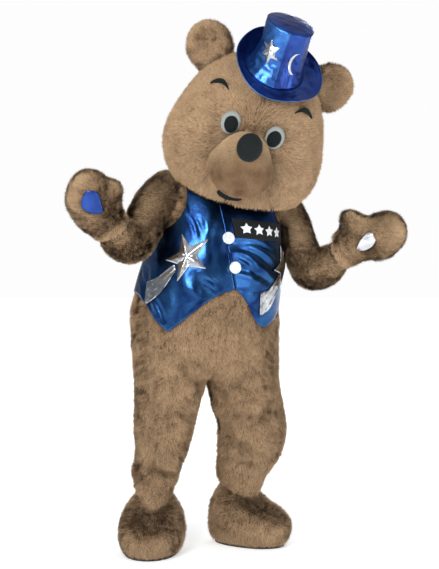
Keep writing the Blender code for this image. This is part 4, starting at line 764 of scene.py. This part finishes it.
backCreases = creaseTable([
    (-0.200, 1.050, -0.060, 1.010, 0.016, 0.012, 0.0055),
    (-0.180, 0.980, -0.020, 0.950, -0.014, 0.011, 0.0050),
    (0.000, 0.990, 0.200, 1.040, -0.018, 0.013, 0.0055),
    (0.040, 0.930, 0.220, 0.960, 0.012, 0.010, 0.0045),
    (-0.120, 1.300, -0.100, 1.160, 0.008, 0.012, 0.0045),
    (0.120, 1.290, 0.140, 1.150, -0.008, 0.012, 0.0045),
    (0.000, 1.280, 0.010, 1.130, 0.004, 0.016, 0.0040),
    (-0.220, 0.930, -0.190, 0.850, 0.006, 0.008, 0.0045),
    (0.200, 0.920, 0.210, 0.850, -0.006, 0.008, 0.0045),
    (-0.060, 0.900, 0.080, 0.880, -0.010, 0.010, 0.0035),
])
waistcoatWall = 0.0012
waistcoatPanels = [
    dict(node="waistcoat_front_right", cut=(0.38, 0.58), creases=frontCreases, side=1),
    dict(node="waistcoat_front_left", cut=(0.34, 0.58), creases=frontCreases, side=1),
    dict(node="waistcoat_back", cut=(0.62, 0.58), creases=backCreases, side=-1),
]
for panel in waistcoatPanels:
    name = camelName(panel["node"])
    cloth = subdivided(newPiece(name, skinOf(panel["node"]), materials["blueLame"]), 3)
    creased(cloth, panel["creases"], panel["side"])
    walled(cloth, waistcoatWall)
    finishPiece(cloth, "blue_lame", panel["node"])

hat = {
    "foot": fromFloor(0.218, -0.226, 1.698), "top": fromFloor(0.272, -0.272, 1.856), "wall": 0.0016,
    "weltRadius": 0.0017, "seamRadius": 0.0011,
    "rumpleSize": 0.034, "rumpleRidge": 0.45, "rumpleDent": 1.6, "rumpleEdge": 0.016,
}
hatPanels = [
    dict(node="hat_brim", cut=(0.36, 0.36), levels=2, rumple=0.0055, coats=("navyLame",)),
    dict(node="hat_crown", cut=(0.62, 0.17), levels=3, rumple=0.0045, coats=("hatLame", "navyLame")),
    dict(node="hat_top", cut=(0.20, 0.20), levels=2, rumple=0.0030, coats=("navyLame",)),
]
hatAxis = (hat["top"] - hat["foot"]).normalized()


def middleOf(nodeName):
    low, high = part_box(nodeName)
    return (Vector(low) + Vector(high)) / 2


def rumpled(piece, depth):
    # Soft dents with sharper ridges between them, as in foil over buckram, dying out towards the edges
    points, normals = meshArrays(piece)
    shape = bmesh.new()
    shape.from_mesh(piece.data)
    rim = [vertex.co.copy() for vertex in shape.verts if vertex.is_boundary]
    shape.free()
    near = KDTree(len(rim))
    for i, point in enumerate(rim):
        near.insert(point, i)
    near.balance()
    shifts = []
    for point in points:
        dent = hat["rumpleDent"] * abs(noise.noise(Vector(point) / hat["rumpleSize"]))
        shifts.append((hat["rumpleRidge"] - dent) * min(1, near.find(point)[2] / hat["rumpleEdge"]))
    setPoints(piece, points + normals * (np.array(shifts) * depth)[:, None])


def chainsOf(edges):
    # The edges' points in order, one list for each run
    waiting = dict.fromkeys(edges)
    chains = []
    while waiting:
        edge = next(iter(waiting))
        del waiting[edge]
        chain = [edge.verts[0], edge.verts[1]]
        for grow in (chain.append, lambda vertex: chain.insert(0, vertex)):
            while True:
                tip = chain[-1] if grow == chain.append else chain[0]
                follow = [link for link in tip.link_edges if link in waiting]
                if not follow:
                    break
                del waiting[follow[0]]
                grow(follow[0].other_vert(tip))
        chains.append([vertex.co.copy() for vertex in chain])
    return chains


def beading(name, points, radius, coat, slotName):
    # A thin corded edge along the points
    line = bpy.data.curves.new(name, "CURVE")
    line.dimensions = "3D"
    line.bevel_depth = radius
    line.bevel_resolution = 1
    closed = (points[0] - points[-1]).length < 0.001
    spline = line.splines.new("POLY")
    spline.points.add(len(points) - 1 - closed)
    for spot, point in zip(spline.points, points):
        spot.co = (*point, 1)
    spline.use_cyclic_u = closed
    shaped = bpy.data.objects.new(name, line)
    bpy.context.scene.collection.objects.link(shaped)
    graph = bpy.context.evaluated_depsgraph_get()
    mesh = bpy.data.meshes.new_from_object(shaped.evaluated_get(graph))
    bpy.data.objects.remove(shaped)
    mesh.materials.clear()
    mesh.materials.append(materials[coat])
    for face in mesh.polygons:
        face.use_smooth = True
    piece = bpy.data.objects.new(name, mesh)
    bpy.context.scene.collection.objects.link(piece)
    return finishPiece(piece, slotName)


seamPoint = (middleOf("hat_star") + middleOf("hat_moon")) / 2
seamPlane = hatAxis.cross(seamPoint - hat["foot"]).normalized()
for panel in hatPanels:
    name = camelName(panel["node"])
    shape = skinOf(panel["node"])
    if panel["node"] == "hat_crown":  # its halves meet in a seam between the star and the moon, and behind
        bmesh.ops.bisect_plane(
            shape, geom=shape.verts[:] + shape.edges[:] + shape.faces[:], dist=0.0004, plane_co=hat["foot"],
            plane_no=seamPlane,
        )
        # one half takes the lighter lame and the other the darker: painted light and painted shade on one
        # fabric
        for face in shape.faces:
            face.material_index = int((face.calc_center_median() - hat["foot"]).dot(seamPlane) > 0)
    cloth = subdivided(newPiece(name, shape, *(materials[coat] for coat in panel["coats"])), panel["levels"])
    rumpled(cloth, panel["rumple"])
    shape = bmesh.new()
    shape.from_mesh(cloth.data)
    beads = []
    if panel["node"] == "hat_crown":
        seam = [edge for edge in shape.edges if len({face.material_index for face in edge.link_faces}) > 1]
        beads = [beading("hatSeam" + str(i), chain, hat["seamRadius"], "hatLame", "blue_lame")
                 for i, chain in enumerate(chainsOf(seam)) if len(chain) > 12]
    if panel["node"] == "hat_brim":
        rims = chainsOf([edge for edge in shape.edges if edge.is_boundary])
        outer = max(rims, key=lambda chain: sum((a - b).length for a, b in zip(chain, chain[1:])))
        beads = [beading("hatWelt", outer, hat["weltRadius"], "hatLame", "blue_lame")]
    shape.free()
    walled(cloth, hat["wall"])
    finishPiece(cloth, "blue_lame", panel["node"])
print("lame made")


# Small hard and flat pieces: smoother copies of their solids

def softCopy(nodeName, coatName, slotName, levels=2, sharpDegrees=50, crease=0.9):
    shape = weldedCopy(nodeName)
    pairTriangles(shape, 25)
    hard = shape.edges.layers.float.new("crease_edge")
    for edge in shape.edges:
        if len(edge.link_faces) == 2 and edge.calc_face_angle(0) > math.radians(sharpDegrees):
            edge[hard] = crease
    name = ownNames.get(nodeName) or camelName(nodeName)
    piece = subdivided(newPiece(name, shape, materials[coatName]), levels)
    return finishPiece(piece, slotName, nodeName)


# node, material, slot and, for what is cut from cloth, the width and length of its cut
smallPieces = [
    ("eye_white_right", "eyeFelt", "eye_white"), ("eye_white_left", "eyeFelt", "eye_white"),
    ("eye_pupil_right", "blackFelt", "eye_black"), ("eye_pupil_left", "blackFelt", "eye_black"),
    ("eyebrow_right", "blackFelt", "black_felt", (0.085, 0.030)),
    ("eyebrow_left", "blackFelt", "black_felt", (0.085, 0.030)),
    ("nose", "noseVelvet", "nose_black"), ("mouth", "blackFelt", "black_felt", (0.095, 0.045)),
    ("button_1", "buttonWhite", "button_white"), ("button_2", "buttonWhite", "button_white"),
    ("sole_right", "soleRubber", "sole_rubber"), ("sole_left", "soleRubber", "sole_rubber"),
    ("hat_star", "silverLame", "silver_lame", (0.090, 0.085)),
    ("hat_moon", "silverLame", "silver_lame", (0.075, 0.035)),
    ("comet_front", "silverLame", "silver_lame", (0.160, 0.085)),
    ("star_front", "silverLame", "silver_lame", (0.165, 0.160)),
    ("comet_side", "silverLame", "silver_lame", (0.160, 0.085)),
    ("star_side", "silverLame", "silver_lame", (0.160, 0.155)),
    ("chest_patch", "patchCloth", "black_felt", (0.195, 0.080)),
    ("chest_star_1", "whiteVinyl", "white_vinyl", (0.044, 0.042)),
    ("chest_star_2", "whiteVinyl", "white_vinyl", (0.044, 0.042)),
    ("chest_star_3", "whiteVinyl", "white_vinyl", (0.042, 0.040)),
    ("chest_star_4", "whiteVinyl", "white_vinyl", (0.042, 0.040)),
    ("paw_pad_right", "navyLame", "blue_lame", (0.082, 0.078)),
    ("paw_pad_left", "padLame", "silver_lame", (0.068, 0.068)),
]
ownNames = {"nose": "noseBall", "mouth": "mouthFelt"}  # the frame's own solids hold the plain names
# foil appliques: how far a star's middle stands up, or how deep and how far apart a tail's pleats are
starRise = {"star_front": 0.0085, "star_side": 0.0085, "hat_star": 0.0035}
tailPleats = {
    "comet_front": {"depth": 0.0018, "spacing": 0.0115},
    "comet_side": {"depth": 0.0018, "spacing": 0.0125},
}


def outwardSide(piece):
    # The points, how far each belongs to the side that shows, and two directions along the piece
    points, normals = meshArrays(piece)
    middle = points.mean(axis=0)
    _, _, axes = np.linalg.svd(points - middle, full_matrices=False)
    out = axes[2] * (1 if axes[2][1] < 0 else -1)
    shown = np.clip((normals @ out - 0.2) / 0.5, 0, 1)
    return points, middle, shown, axes[0], axes[1], out


def starFacets(piece, rise, sectors=90):
    # Flats that run from the raised middle to each side of each point, as in folded foil
    points, middle, shown, along, across, out = outwardSide(piece)
    flat = np.stack([(points - middle) @ along, (points - middle) @ across], axis=1)
    distance = np.linalg.norm(flat, axis=1)
    angle = np.arctan2(flat[:, 1], flat[:, 0])
    slot = ((angle + math.pi) / (2 * math.pi) * sectors).astype(int) % sectors
    outline = np.array([distance[slot == i].max() if (slot == i).any() else 0 for i in range(sectors)])
    outline = np.where(outline > 0, outline, outline.mean())
    height = np.clip(1 - distance / outline[slot], 0, 1)
    setPoints(piece, points + out * (height * shown * rise)[:, None])


def pleated(piece, pleats):
    # Fine pleats fanned along the tail, with a weaker second wave that keeps them uneven
    points, middle, shown, along, across, out = outwardSide(piece)
    reach = (points - middle) @ along / np.abs((points - middle) @ along).max()
    place = (points - middle) @ across * (1 + 0.25 * reach)
    turns = place / pleats["spacing"]
    wave = np.sin(turns * 2 * math.pi) + 0.5 * np.sin(turns * 3.3 + 1)
    setPoints(piece, points + out * (wave * shown * pleats["depth"])[:, None])


for nodeName, coatName, slotName, *cut in smallPieces:
    piece = softCopy(nodeName, coatName, slotName)
    if nodeName in starRise:
        starFacets(piece, starRise[nodeName])
    if nodeName in tailPleats:
        pleated(piece, tailPleats[nodeName])
print("small pieces made:", len(smallPieces))


# The room: a pale floor, soft light and the camera where the photographer stood

def softLight(name, place, aim, size, power, colour="#FFFFFF"):
    light = bpy.data.lights.new(name, "AREA")
    light.shape = "RECTANGLE"
    light.size, light.size_y = size
    light.energy = power
    light.color = linear(colour)[:3]
    lamp = bpy.data.objects.new(name, light)
    lamp.location = fromFloor(*place)
    lamp.rotation_euler = (fromFloor(*aim) - lamp.location).to_track_quat("-Z", "Y").to_euler()
    bpy.context.scene.collection.objects.link(lamp)


softLight("key", (-1.5, -4.4, 2.9), (0, 0, 1.0), (1.6, 1.6), 175)
softLight("fill", (3.4, -3.0, 1.6), (0, 0, 1.0), (1.4, 2.0), 48)
softLight("rim", (1.5, 4.5, 2.6), (0, 0, 1.1), (2.5, 2.0), 130)

shape = bmesh.new()
bmesh.ops.create_grid(shape, x_segments=1, y_segments=1, size=14)
bmesh.ops.translate(shape, verts=shape.verts, vec=fromFloor(0, 0, -0.0005))
floorMaterial, tree = newMaterial("pale_floor")
spot = addNode(tree, "ShaderNodeTexCoord")
reach = addNode(tree, "ShaderNodeVectorMath", {
    0: spot.outputs["Object"], 1: fromFloor(0, 0, 0),
}, operation="DISTANCE")
glow = addNode(tree, "ShaderNodeMapRange", {
    "Value": reach.outputs["Value"], "From Min": 0.8, "From Max": 4.5, "To Min": 0.42, "To Max": 0.86,
})
finishMaterial(tree, addNode(tree, "ShaderNodeBsdfPrincipled", {
    "Base Color": linear("#F2F2F1"), "Roughness": 0.8, "Specular IOR Level": 0.0,
    "Emission Color": linear("#FFFFFF"), "Emission Strength": glow.outputs[0],
}))
floor = newPiece("floor", shape, floorMaterial)

world = bpy.data.worlds.new("studio")
world.use_nodes = True
tree = world.node_tree
tree.nodes.clear()
direction = addNode(tree, "ShaderNodeTexCoord")
height = addNode(tree, "ShaderNodeSeparateXYZ", {0: direction.outputs["Generated"]})
sky = setRamp(
    addNode(tree, "ShaderNodeValToRGB", {"Fac": height.outputs["Z"]}),
    [(0.0, "#A4A7AB"), (0.18, "#8A8D92"), (0.55, "#B9BCC0"), (1.0, "#E4E6E8")],
)
room = addNode(tree, "ShaderNodeBackground", {"Color": sky, "Strength": 0.85})
backdrop = addNode(tree, "ShaderNodeBackground", {"Color": linear("#FDFDFD"), "Strength": 1.0})
seen = addNode(tree, "ShaderNodeLightPath")  # the backdrop is white, the rest of the room is dimmer
both = addNode(tree, "ShaderNodeMixShader", {
    0: seen.outputs["Is Camera Ray"], 1: room.outputs[0], 2: backdrop.outputs[0],
})
addNode(tree, "ShaderNodeOutputWorld", {"Surface": both.outputs[0]})
bpy.context.scene.world = world
bpy.context.scene.view_settings.view_transform = "Standard"

photoCamera = {"distance": 5.5, "height": 1.25, "aimHeight": 0.947, "x": 0.027, "lens": 95.66}
camera = bpy.data.cameras.new("camera")
camera.lens = photoCamera["lens"]
camera.sensor_width = 36
cameraObject = bpy.data.objects.new("camera", camera)
cameraObject.location = fromFloor(photoCamera["x"], -photoCamera["distance"], photoCamera["height"])
aim = fromFloor(photoCamera["x"], 0, photoCamera["aimHeight"])
cameraObject.rotation_euler = (aim - cameraObject.location).to_track_quat("-Z", "Y").to_euler()
bpy.context.scene.collection.objects.link(cameraObject)
bpy.context.scene.camera = cameraObject

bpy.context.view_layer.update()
added = [piece for piece in bpy.data.objects
         if piece.type == "MESH" and "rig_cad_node" not in piece and not piece.hide_render]
print("added triangles:", sum(len(face.vertices) - 2 for piece in added for face in piece.data.polygons))
